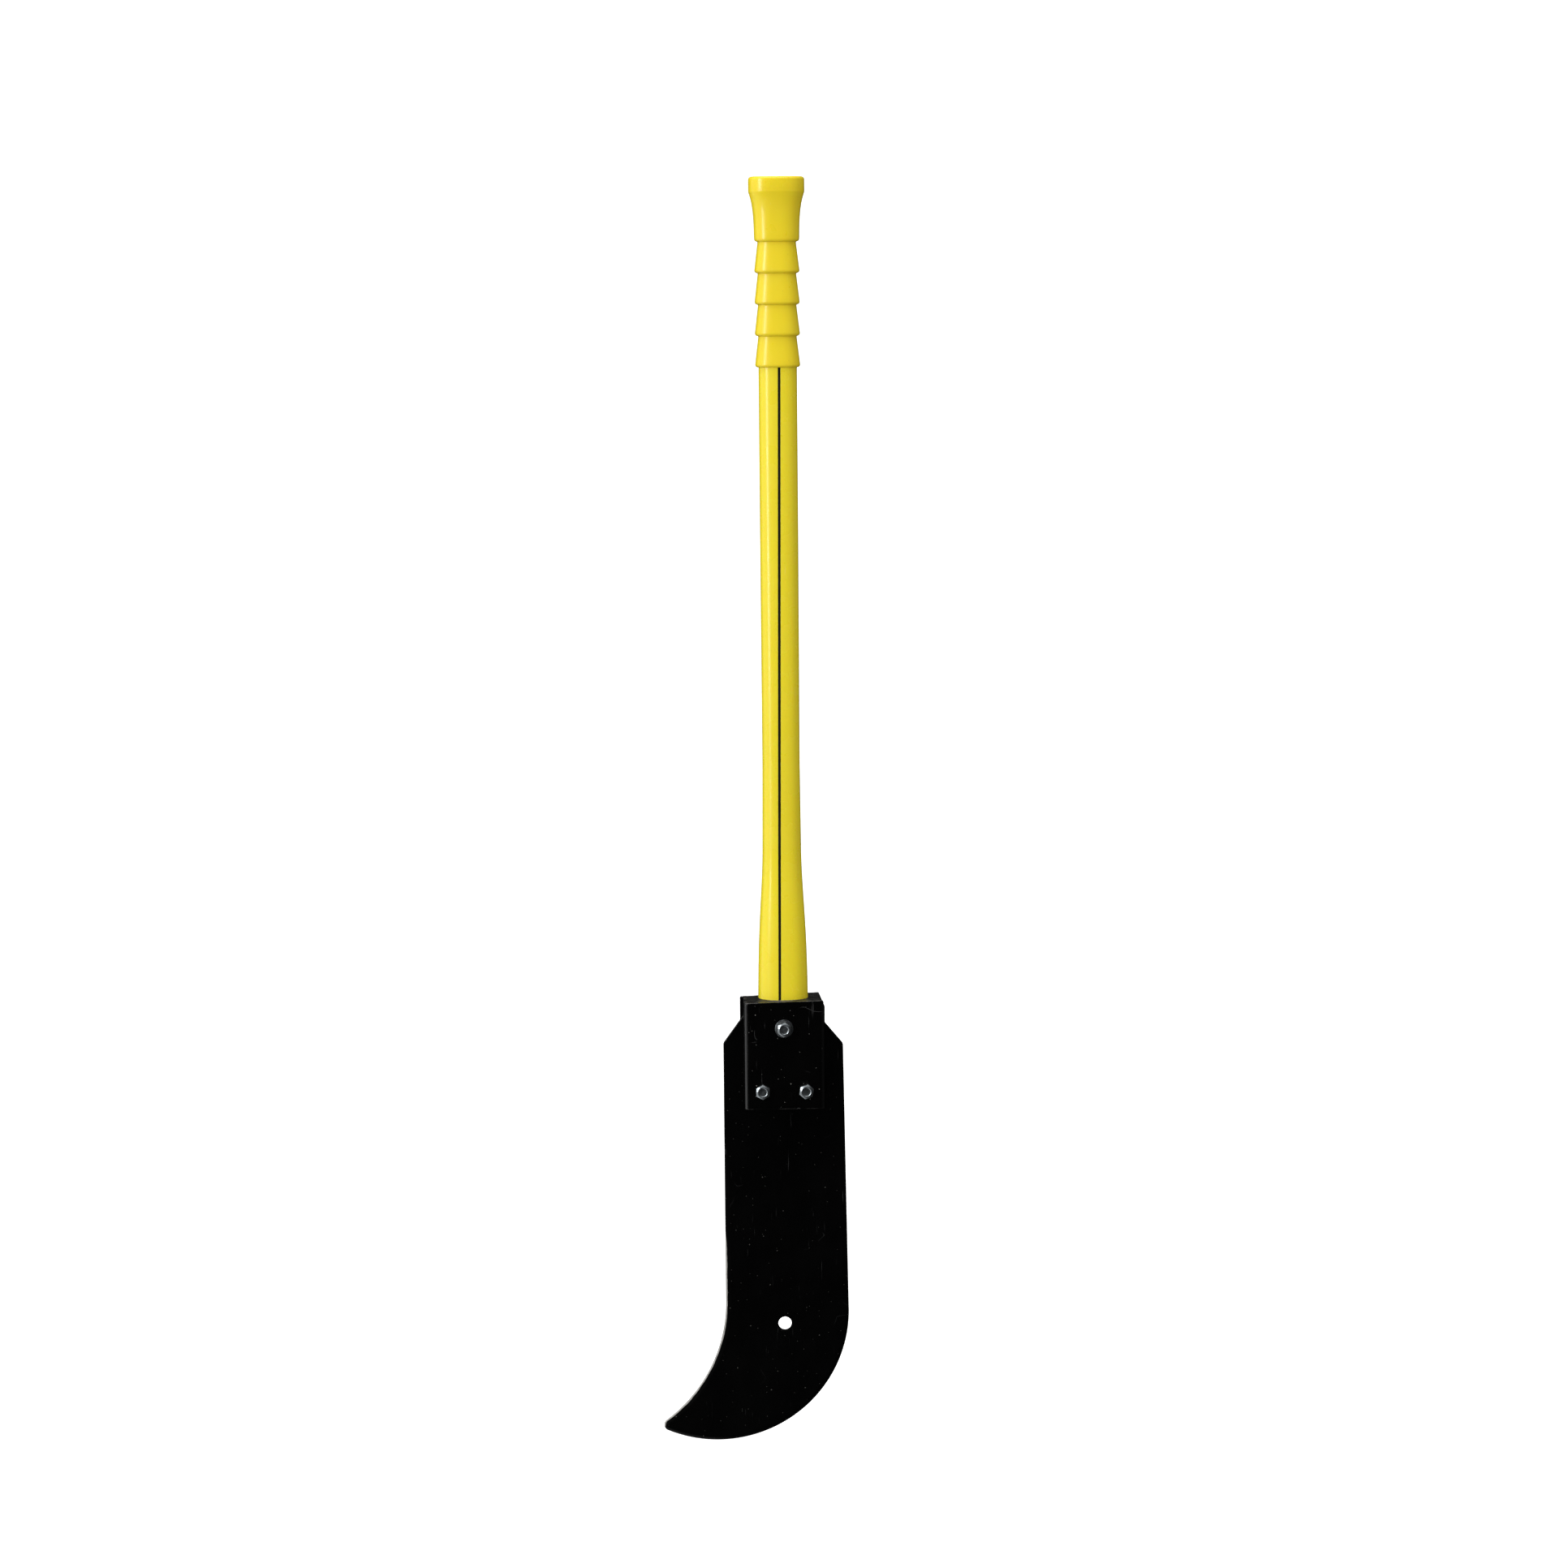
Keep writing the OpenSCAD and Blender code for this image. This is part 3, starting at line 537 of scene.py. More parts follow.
def edge_profile(bevel, land, half, crease, hone, tip):
    """Half thickness of a plate against distance in from its edge: a tip at the edge, a steeper
    honed strip, a straight bevel up to the full half thickness, and a parabola through the
    crease. Returns the insets and half thicknesses of one side, from the flat face outwards."""
    soft = np.minimum(crease, bevel * 0.35)
    shares = np.array([1.0, 0.5, 0.0, -0.5, -1.0])[:, None]
    near = bevel + soft * shares
    slope = (half - land) / bevel
    rise = half - slope * (soft * (1 - shares)) ** 2 / (4 * soft)
    rest = np.stack([bevel * 0.45, hone, hone * 0.5, hone * 0.05, hone * 0.0])
    shoulder = land + slope * hone
    low_side = np.stack([land + slope * rest[0], shoulder, (shoulder + tip) / 2,
                         tip + (shoulder - tip) * 0.05, tip * 0.55])
    return np.concatenate([near, rest]), np.concatenate([rise, low_side])


def plate(outline, inward, bevel, land, half, y, holes, hone=None, tip=None):
    """A flat plate whose outline, anticlockwise from the front, has its own bevel and land at
    each point. Rings step over the back bevel, round the edge and up the front bevel; the two
    flat faces are cut into triangles round the holes, whose walls have softened rims."""
    hone = bevel * 0.12 + 0.00004 if hone is None else hone
    tip = land * 0.86 if tip is None else tip
    inset, depth = edge_profile(bevel, land, half, 0.0005, hone, tip)
    inset = np.concatenate([inset, inset[::-1]])
    depth = np.concatenate([depth, -depth[::-1]])
    flat = outline[None] + inward[None] * inset[..., None]
    grid = np.stack([flat[..., 0], y + depth, flat[..., 1]], -1)
    # The flat faces' own points count as far from the edge, so that no wear spreads over them
    far = 0.004
    reach = inset.copy()
    reach[[0, -1]] = far
    points, faces, edges = [grid.reshape(-1, 3)], skin(grid), [reach.ravel()]
    count, columns = grid.shape[0] * grid.shape[1], grid.shape[1]
    rims = [[], []]
    for x, z, radius in holes:
        turn = np.linspace(0, 2 * np.pi, 64, endpoint=False)
        soft = 0.0004
        steps = np.array([[soft, half], [soft * 0.3, half - soft * 0.3], [0, half - soft],
                          [0, soft - half], [soft * 0.3, soft * 0.3 - half], [soft, -half]])
        r = radius + steps[:, :1]
        wall = np.stack(np.broadcast_arrays(x + r * np.cos(turn), y + steps[:, 1:],
                                            z + r * np.sin(turn)), -1)
        points.append(wall.reshape(-1, 3))
        # The wall faces the hole's own axis, so its quads are turned over
        faces += [face[::-1] for face in skin(wall, True, count)]
        edges.append(np.repeat([far, soft, soft, soft, soft, far], 64))
        rims[0].append(np.arange(count, count + 64))
        rims[1].append(np.arange(count + 5 * 64, count + 6 * 64))
        count += 6 * 64
    points = np.concatenate(points)
    flat_from = len(faces)
    last = (grid.shape[0] - 1) * columns
    for rim, start, front in ((rims[0], 0, False), (rims[1], last, True)):
        loops = [np.arange(start, start + columns), *rim]
        order = np.concatenate(loops)
        lines = [[Vector((points[i][0], points[i][2], 0)) for i in loop] for loop in loops]
        for tri in tessellate_polygon(lines):
            a, b, c = (order[i] for i in tri)
            p, q, r = points[a], points[b], points[c]
            turned = (q[0] - p[0]) * (r[2] - p[2]) - (q[2] - p[2]) * (r[0] - p[0]) > 0
            faces.append([int(a), int(b), int(c)] if turned == front
                         else [int(a), int(c), int(b)])
    return points, faces, flat_from, np.concatenate(edges)


def washer_spot(side):
    """Middle of a bolt, in x and z, from the washer that sits on it."""
    middle = (low(side + "_washer") + high(side + "_washer")) / 2
    return float(middle[0]), float(middle[2])


def bolt_holes():
    """The three bolt holes as x, z and radius."""
    return [(*washer_spot(side), BOLT_HOLE_RADIUS) for side in BOLT_TURNS]


# ---------------------------------------------------------------- blade


def blade_outline(s, top):
    """The blade's outline, anticlockwise from the front, as points, inward normals and bevel
    widths. The point's circle touches the hook's hollow arc from outside and the belly's circle
    from inside, so its centre is where two circles about their centres cross."""
    hook_c = np.array([-s.hook_side - s.hook_radius, s.hook_height])
    belly_c = np.array([s.belly_side - s.belly_radius, s.belly_height])
    reach = belly_c - hook_c
    gap = np.hypot(*reach)
    far, near = s.hook_radius + s.tip_radius, s.belly_radius - s.tip_radius
    along = (far ** 2 - near ** 2 + gap ** 2) / (2 * gap)
    off = math.sqrt(far ** 2 - along ** 2)
    tip = hook_c + reach / gap * along + np.array([reach[1], -reach[0]]) / gap * off
    hook_end = math.degrees(math.atan2(*(tip - hook_c)[::-1]))
    belly_start = math.degrees(math.atan2(*(tip - belly_c)[::-1]))
    shoulder_x = s.belly_side - s.belly_taper
    lean = math.degrees(math.atan2(s.belly_taper, s.belly_shoulder - s.belly_height))
    hook_slope, belly_slope, soft = 54.0, 50.0, 0.0004

    def share(z):
        return soft + (s.bevel - soft) * np.clip((s.bevel_start - z) / 0.012, 0, 1)

    hook_top = -s.hook_side + (top - s.hook_shoulder) / math.tan(math.radians(hook_slope))
    belly_top = shoulder_x - (top - s.belly_shoulder) / math.tan(math.radians(belly_slope))
    parts = []
    parts.append((*corner((hook_top, top), 0.003, 90, 90 + hook_slope, 6), soft))
    parts.append((*corner((-s.hook_side, s.hook_shoulder), 0.005, 90 + hook_slope, 180, 9), soft))
    z = np.concatenate([np.linspace(0.25, s.bevel_start + 0.004, 12),
                        np.linspace(s.bevel_start, s.bevel_start - 0.012, 13),
                        np.linspace(s.bevel_start - 0.018, s.hook_height + 0.004, 30)])
    side = np.stack([np.full_like(z, -s.hook_side), z], 1)
    parts.append((side, np.tile([1.0, 0.0], (len(z), 1)), share(z)))
    at, way = arc(hook_c, s.hook_radius, 0, hook_end, 70, 1)
    fade = np.clip(np.linspace(0, 1, 70) - 0.8, 0, 1) / 0.2
    parts.append((at, way, s.bevel + (s.belly_bevel - s.bevel) * fade))
    at, way = arc(tip, s.tip_radius, 180 + hook_end, 360 + belly_start, 22, -1)
    parts.append((at[1:-1], way[1:-1], s.belly_bevel))
    at, way = arc(belly_c, s.belly_radius, belly_start, 0, 130, -1)
    fade = np.clip(np.linspace(belly_start, 0, 130) + 24, 0, 24) / 24
    parts.append((at, way, s.belly_bevel + (s.bevel - s.belly_bevel) * fade))
    z = z[::-1]
    tilt = math.radians(lean)
    side = np.stack([s.belly_side - (z - s.belly_height) * math.tan(tilt), z], 1)
    parts.append((side, np.tile([-math.cos(tilt), -math.sin(tilt)], (len(z), 1)), share(z)))
    parts.append((*corner((shoulder_x, s.belly_shoulder), 0.005, lean, 90 - belly_slope, 9),
                  soft))
    parts.append((*corner((belly_top, top), 0.003, 90 - belly_slope, 90, 6), soft))
    outline = np.concatenate([p[0] for p in parts])
    inward = np.concatenate([p[1] for p in parts])
    bevel = np.concatenate([np.broadcast_to(p[2], len(p[0])) for p in parts])
    return outline, inward, bevel


class BUSHHOOK_OT_blade(bpy.types.Operator):
    """Blade plate with its hook, belly, ground bevels and holes"""

    bl_idname = "bush_hook.blade"
    bl_label = "Blade"

    def execute(self, context):
        s = context.scene.bush_hook_blade
        bottom, top = low("blade"), high("blade")
        half = float(top[1])
        outline, inward, bevel = blade_outline(s, float(top[2]))
        # Hand grinding lets the bevel's inner line wander by half a millimetre
        run = np.concatenate([[0], np.cumsum(np.hypot(*np.diff(outline, axis=0).T))])
        wander = 0.00028 * np.sin(run * 61) + 0.0002 * np.sin(run * 143 + 1.3)
        sharp = np.clip((bevel - 0.0004) / (s.belly_bevel - 0.0004), 0, 1)
        bevel = bevel + wander * sharp
        land = half - 0.0004 + (0.0003 - half + 0.0004) * sharp
        hone = bevel * 0.12 + 0.00004 + (s.hone - bevel * 0.12) * sharp
        tip = land * (0.86 - 0.62 * sharp)
        points, faces, flat_from, edge = plate(outline, inward, bevel, land, half, 0.0,
                                               [(0.0, 0.0, s.hole_radius), *bolt_holes()],
                                               hone, tip)
        material = lacquer_material("black lacquer on forged blade steel", s.paint, 0.5,
                                    s.bare_steel_sheen, s.bare_width)
        make("blade_plate", points, faces, material, ["blade"],
             flat_from, edge)
        if abs(points[:, 2].min() - bottom[2]) > 0.0005:
            raise RuntimeError("the blade's belly doesn't end where the frame's blade does")
        return {"FINISHED"}


# ---------------------------------------------------------------- housing


def channel(width, depth, wall, bend):
    """A folded channel's section: the outer line down one side, round a bend, across the web,
    round the other bend and back, then the inner line the other way. Returns points in (x, y)
    with y 0 at the open side, and their normals into the steel."""
    a = width / 2
    t = np.linspace(0, 1, 12)[:, None]
    legs = np.linspace(0, bend - depth, 10)[:, None]
    web = np.linspace(bend - a, a - bend, 26)[1:-1, None]
    turn = np.radians(180 + 90 * t)
    one = np.ones_like

    def line(offset):
        r, w, d = bend - offset, a - offset, depth - offset
        left = np.hstack([-w * one(legs), legs])
        bend_l = np.hstack([bend - a + r * np.cos(turn), bend - depth + r * np.sin(turn)])
        across = np.hstack([web, -d * one(web)])
        bend_r = bend_l[::-1] * [-1, 1]
        right = left[::-1] * [-1, 1]
        return np.concatenate([left[:-1], bend_l, across, bend_r, right[1:]])

    normal_l = np.hstack([one(legs), 0 * legs])[:-1]
    normal_b = np.hstack([-np.cos(turn), -np.sin(turn)])
    normal_w = np.hstack([0 * web, one(web)])
    into = np.concatenate([normal_l, normal_b, normal_w, normal_b[::-1] * [-1, 1],
                           normal_l[::-1] * [-1, 1]])
    outer, inner = line(0.0), line(wall)
    return np.concatenate([outer, inner[::-1]]), np.concatenate([into, -into[::-1]])


def rim_height(s, x, y):
    """Height of the housing's rim, a plane that rises to the belly side and dips to the back."""
    bottom, top = low("front_housing"), high("front_housing")
    across, along = x / (top[0] - bottom[0]) + 0.5, (y - bottom[1]) / (top[1] - bottom[1])
    return bottom[2] + s.height + s.rim_rise * across - s.rim_dip * along


class BUSHHOOK_OT_housing(bpy.types.Operator):
    """Folded steel housing with sheared, slightly rounded ends"""

    bl_idname = "bush_hook.housing"
    bl_label = "Housing"

    def execute(self, context):
        s = context.scene.bush_hook_housing
        bottom, top = low("front_housing"), high("front_housing")
        section, into = channel(top[0] - bottom[0], top[1] - bottom[1], s.wall, s.bend)
        count = len(section) // 2
        soft = s.cut_edge
        width, depth = top[0] - bottom[0], top[1] - bottom[1]
        rim = rim_height(s, section[:, 0], top[1] + section[:, 1])
        # A slanting cut takes the back corner off the belly-side wall
        lean = math.atan(s.clip_width / s.clip_height)
        swing = math.atan(s.wall_clip * math.tan(lean) / depth)
        outside = (section[:, 0] - width / 2) * math.cos(swing) + section[:, 1] * math.sin(swing)
        corner_z = rim_height(s, width / 2, top[1]) - s.wall_clip
        rim = np.minimum(rim, corner_z - outside / math.tan(lean))
        z0 = bottom[2]
        ends = np.array([0, 0.12, 0.45, 1.0])[:, None] * soft
        inset = np.array([1.0, 0.4, 0.08, 0.0]) * soft
        share = np.linspace(0, 1, 24)[1:-1, None]
        middle = z0 + soft + (rim - z0 - 2 * soft) * share
        z = np.concatenate([z0 + ends + 0 * rim, middle, (rim - ends)[::-1]])
        inset = np.concatenate([inset, np.zeros(len(share)), inset[::-1]])
        flat = section[None] + into[None] * inset[:, None, None]
        grid = np.stack([flat[..., 0], top[1] + flat[..., 1], z], -1)
        faces = skin(grid)
        pair = np.arange(count)
        mate = 2 * count - 1 - pair
        last = (len(z) - 1) * 2 * count
        lower = np.stack([pair[:-1], mate[:-1], mate[1:], pair[1:]], 1)
        upper = np.stack([pair[:-1], pair[1:], mate[1:], mate[:-1]], 1) + last
        faces += lower.tolist() + upper.tolist()
        edge = np.minimum(z - z0, rim - z)
        material = lacquer_material("black lacquer on folded sheet steel", s.paint, 1.3)
        make("housing_channel", grid, faces, material,
             ["front_housing"], None, edge)
        return {"FINISHED"}


class BUSHHOOK_OT_back_plate(bpy.types.Operator):
    """Plate behind the blade, with one upper corner clipped"""

    bl_idname = "bush_hook.back_plate"
    bl_label = "Back plate"

    def execute(self, context):
        s = context.scene.bush_hook_housing
        bottom, top = low("back_plate"), high("back_plate")
        x0, x1, z0 = bottom[0], top[0], bottom[2]
        z1 = z0 + s.plate_height
        half = float(top[1] - bottom[1]) / 2
        slope = s.plate_rise / (x1 - x0)
        tilt = 90 + math.degrees(math.atan(slope))
        end = np.array([x1 - s.clip_width, z1 + slope * (x1 - s.clip_width - x0)])
        foot = np.array([x1, z1 + s.plate_rise - s.clip_height])
        clip = math.degrees(math.atan2(foot[0] - end[0], end[1] - foot[1]))
        parts = [corner((x0, z1), 0.0012, tilt, 180, 6), corner((x0, z0), 0.003, 180, 270, 8),
                 corner((x1, z0), 0.003, 270, 360, 8), corner(foot, 0.0012, 0, clip, 5),
                 corner(end, 0.0012, clip, tilt, 5)]
        outline = np.concatenate([p[0] for p in parts])
        inward = np.concatenate([p[1] for p in parts])
        bevel = np.full(len(outline), s.cut_edge)
        land = np.full(len(outline), half - s.cut_edge)
        points, faces, flat_from, edge = plate(outline, inward, bevel, land, half,
                                               float(bottom[1]) + half, bolt_holes())
        material = lacquer_material("black lacquer on plate steel", s.paint, 0.4)
        make("back_plate_steel", points, faces, material,
             ["back_plate"], flat_from, edge)
        return {"FINISHED"}


class BUSHHOOK_OT_filler(bpy.types.Operator):
    """Resin filler in the housing, climbing to where it meets the handle"""

    bl_idname = "bush_hook.filler"
    bl_label = "Filler"

    def execute(self, context):
        s = context.scene.bush_hook_housing
        bottom, top = low("potting"), high("potting")
        middle = (bottom + top) / 2
        a, b = (top[0] - bottom[0]) / 2, (top[1] - bottom[1]) / 2
        angles = np.linspace(0, 2 * np.pi, 192, endpoint=False)
        # Distance from the middle to the housing's inside, which is a rectangle
        wall = np.minimum(a / np.maximum(np.abs(np.cos(angles)), 1e-6),
                          b / np.maximum(np.abs(np.sin(angles)), 1e-6))
        way = np.stack([np.cos(angles), np.sin(angles)], -1)
        outer = way * wall[:, None]
        w, d = handle_width(top[2]), handle_depth(top[2])
        inner = ring_points(np.arctan2(np.sin(angles) / d, np.cos(angles) / w),
                            w / 2 - 0.0003, d / 2 - 0.0003, 0.0, 0.0)[:, :2]
        reach = np.linalg.norm(outer - inner, axis=1)
        t = np.linspace(0, 1, 60)[:, None]
        flat = inner[None] * (1 - t[..., None]) + outer[None] * t[..., None]
        x, y = middle[0] + flat[..., 0], middle[1] + flat[..., 1]
        # The surface climbs as the square of the way from the wall to the handle
        level = rim_height(s, x, y) - s.filler_drop
        height = level + (top[2] - level) * (1 - t) ** 2
        # Two shallow furrows run across, where the filler was struck off in passes
        for furrow in FURROWS:
            height = height - FURROW_DEPTH * t * np.exp(-((y - furrow) / FURROW_WIDTH) ** 2)
        surface_rows = np.stack([x, y, height], -1)
        rim = surface_rows[-1]
        foot = rim.copy()
        foot[:, 2] = bottom[2]
        hub = foot.copy()
        hub[:, :2] = middle[:2] + (foot[:, :2] - middle[:2]) * 0.02
        # From the hub of the underside out, up the wall and in over the raised surface
        grid = np.concatenate([np.stack([hub, foot, rim]), surface_rows[::-1][1:]])
        faces = capped(grid)
        near = np.concatenate([np.broadcast_to(reach, (2, len(reach))), (t * reach)[::-1]])
        make("resin_filler", grid, faces,
             resin_material("poured black resin", s.filler, s.smear), ["potting"],
             edge=near)
        return {"FINISHED"}


# ---------------------------------------------------------------- handle


def handle_width(z):
    """Width of the handle: waist, plus a slight gain towards the grip, plus a steady taper and
    a bell-curved flare towards the housing."""
    rim = rim_height(bpy.context.scene.bush_hook_housing, low("front_housing")[0],
                     low("front_housing")[1])
    z = np.maximum(z, rim)
    below = np.minimum(z - FLARE_TOP, 0)
    flare = np.where(z < FLARE_TOP, 1 - np.exp(-(below / FLARE_LENGTH) ** 2), 0)
    taper = np.maximum(WAIST - z, 0) / (WAIST - rim)
    return WAIST_WIDTH + neck_gain(z) + TAPER_GAIN * taper + FLARE_GAIN * flare


def neck_gain(z):
    """What the neck adds to the handle's width and depth at a height."""
    return NECK_GAIN * np.clip((z - WAIST) / (NECK_TOP - WAIST), 0, 1)


def handle_depth(z):
    """Depth of the handle: its waist's depth plus a share of what the width gains."""
    gain = handle_width(z) - WAIST_WIDTH - neck_gain(z)
    return WAIST_DEPTH + neck_gain(z) + gain * DEPTH_SHARE


def handle_middle():
    """The handle's middle in y."""
    return float(low("handle_core")[1] + high("handle_core")[1]) / 2


def stripe_middle(s, z):
    """Where the stripe's middle lies at a height: a straight line between its two ends."""
    z0, z1 = low("handle_stripe")[2], low("grip")[2]
    return s.stripe_low + (s.stripe_top - s.stripe_low) * (z - z0) / (z1 - z0)


def front_angle(x, z):
    """Angle of the squared ellipse at which the handle's front has a given x."""
    share = np.clip(np.abs(x) / (handle_width(z) / 2), 0, 1) ** (SQUARENESS / 2)
    return 1.5 * np.pi + np.sign(x) * np.arcsin(share)


class BUSHHOOK_OT_jacket(bpy.types.Operator):
    """Moulded jacket of the handle with the groove that holds the stripe"""

    bl_idname = "bush_hook.jacket"
    bl_label = "Jacket"

    def execute(self, context):
        s = context.scene.bush_hook_handle
        z = np.concatenate([np.linspace(low("handle_jacket")[2], FLARE_TOP, 70),
                            np.linspace(FLARE_TOP + 0.005, high("handle_jacket")[2], 80)])[:, None]
        # Columns across the groove, as offsets from the stripe's middle and depths below it
        h = s.stripe / 2 + 0.00003
        offset = np.array([-h - 0.0005, -h - 0.00014, -h - 0.00003, -h, h, h + 0.00003,
                           h + 0.00014, h + 0.0005])
        sink = np.array([0, 0.00001, 0.00007, 0.0008, 0.0008, 0.00007, 0.00001, 0])
        x = stripe_middle(s, z) + offset
        groove = front_angle(x, z)
        rest = np.linspace(0, 1, s.columns + 2)[1:-1]
        around = groove[:, -1:] + (groove[:, :1] + 2 * np.pi - groove[:, -1:]) * rest
        angles = np.concatenate([groove, around], 1)
        depth = np.concatenate([sink, np.zeros(len(rest))])
        a, b = handle_width(z) / 2, handle_depth(z) / 2
        grid = ring_points(angles, a, b, z, handle_middle())
        grid[..., 1] += depth
        faces = capped(grid)
        make("handle_sleeve", grid, faces, yellow_material("glossy yellow polymer jacket",
                                                           s.yellow, 0.3, 0.23, 0.18),
             ["handle_jacket"])
        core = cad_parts["handle_core"]
        core.data.materials.clear()
        core.data.materials.append(glass_fibre_material("pulled glass fibre rod", s.glass))
        return {"FINISHED"}


class BUSHHOOK_OT_stripe(bpy.types.Operator):
    """Thin black inlay down the front of the handle"""

    bl_idname = "bush_hook.stripe"
    bl_label = "Stripe"

    def execute(self, context):
        s = context.scene.bush_hook_handle
        z0, z1 = low("handle_stripe")[2], high("handle_stripe")[2]
        z = np.linspace(z0, z1, 180)[:, None]
        ragged = 1 + 0.03 * np.sin(z * 410) + 0.03 * np.sin(z * 977 + 2)
        across = np.linspace(-1, 1, 9)
        x = stripe_middle(s, z) + across * s.stripe / 2 * ragged
        a, b = handle_width(z) / 2, handle_depth(z) / 2
        front = ring_points(front_angle(x, z), a, b, z, handle_middle())
        front[..., 1] += 0.00004 + 0.00005 * np.abs(across) ** 6
        back = front[:, ::-1].copy()
        back[..., 1] += 0.0007
        grid = np.concatenate([front, back], 1)
        faces = capped(grid)
        make("stripe_inlay", grid, faces, stripe_material("black resin inlay", s.stripe_black),
             ["handle_stripe"])
        return {"FINISHED"}


def grip_profile(z0, z1):
    """Half widths of the grip against height, as two columns. Each ring starts with a quarter
    round at its lip and narrows in a straight line to the next lip; the butt widens along an
    exponential curve to a straight band with a rounded rim. Small fillets join them."""
    pitch, lip, neck, radius = 0.02935, 0.0211, 0.0179, 0.0026
    butt, band, fade, rim = (high("grip")[0] - low("grip")[0]) / 2, 0.0139, 0.0132, 0.003
    turn = np.radians(np.linspace(0, 90, 10))
    quarter = np.stack([radius * (1 - np.cos(turn)), lip - radius + radius * np.sin(turn)], 1)
    fillet = 0.0009
    slope = np.linspace(0, 1, 14)[1:, None]
    rings = []
    for index in range(4):
        start = z0 + index * pitch
        shift = np.array([start, 0.0])
        down = quarter[-1] + (np.array([pitch - fillet, neck + 0.0001]) - quarter[-1]) * slope
        hollow = np.stack([pitch - fillet + fillet * np.sin(turn[2::2]),
                           neck + 0.0001 + fillet * (1 - np.cos(turn[2::2]))], 1)
        rings += [quarter + shift, down + shift, hollow + shift]
    start = z0 + 4 * pitch
    rings.append(quarter + [start, 0.0])
    z = (z1 - band) - (z1 - band - start - radius) * (1 - np.linspace(0, 1, 40)[1:]) ** 1.5
    width = lip + (butt - lip) * np.exp(-(np.maximum(z1 - band - z, 0) / fade) ** 1.15)
    rings.append(np.stack([z, width], 1))
    top = np.stack([z1 - rim * (1 - np.sin(turn)), butt - rim * (1 - np.cos(turn))], 1)
    rings.append(top)
    return np.concatenate(rings)


class BUSHHOOK_OT_grip(bpy.types.Operator):
    """Stepped grip with its flared butt, mould seams and gate mark"""

    bl_idname = "bush_hook.grip"
    bl_label = "Grip"

    def execute(self, context):
        s = context.scene.bush_hook_handle
        z0, z1 = low("grip")[2], high("grip")[2]
        profile = grip_profile(z0, z1)
        butt = profile[-1, 1]
        aspect = (high("grip")[1] - low("grip")[1]) / (high("grip")[0] - low("grip")[0])
        # The end is a flat disc with a soft step and the round mark of the moulding gate
        disc = np.array([[0.0, 0.98], [0.0, 0.6], [0.0, 0.2], [-0.00005, 0.135], [-0.0003, 0.12],
                         [-0.0004, 0.09], [-0.0004, 0.01]]) * [1, butt] + [z1, 0]
        foot = np.array([[z0 + 0.0002, 0.0172], [z0, 0.0176]])
        profile = np.concatenate([foot, profile, disc])
        base = np.linspace(0, 2 * np.pi, s.columns + 1)[:-1]
        near = np.radians([-2.4, -1.2, -0.6, 0.6, 1.2, 2.4])
        angles = np.unique(np.mod(np.concatenate([base, near, near + np.pi]), 2 * np.pi))
        z, a = profile[:, :1], profile[:, 1:]
        away = np.abs(np.sin(angles))
        ridge = s.seam * np.exp(-(away / 0.012) ** 2)
        inside = np.where((a > 0.015) & (a < butt - 0.0002), 1.0, 0.0)
        grid = ring_points(angles, a, a * aspect, z, handle_middle())
        grid[..., 0] += np.sign(np.cos(angles)) * ridge * inside
        faces = capped(grid)
        make("grip_moulding", grid, faces,
             yellow_material("glossy yellow polymer grip", s.grip_yellow, 0.0, 0.27, 0.14),
             ["grip"], sharp=50)
        return {"FINISHED"}


# ---------------------------------------------------------------- fasteners


def hexagon_radius(angles, flats, turn):
    """Radius of a hexagon with slightly rounded corners: half the width across flats over the
    high-power mean of the cosines to its six faces."""
    normals = np.radians(turn + 30) + np.arange(6) * np.pi / 3
    cosines = np.maximum(np.cos(angles[:, None] - normals), 0)
    return flats / 2 / (cosines ** 90).sum(1) ** (1 / 90)


def set_in(grid, x, z, foot, front):
    """Turns a fastener built along +Z so that it points to the front or the back, with its foot
    at a given y."""
    if front:
        return np.stack([x + grid[..., 0], foot - grid[..., 2], z + grid[..., 1]], -1)
    return np.stack([x + grid[..., 0], foot + grid[..., 2], z - grid[..., 1]], -1)


def spun(angles, radius, height):
    """A surface of rings: radius and height, each (rows, columns), about the Z axis."""
    return np.stack(np.broadcast_arrays(radius * np.cos(angles), radius * np.sin(angles),
                                        height), -1)


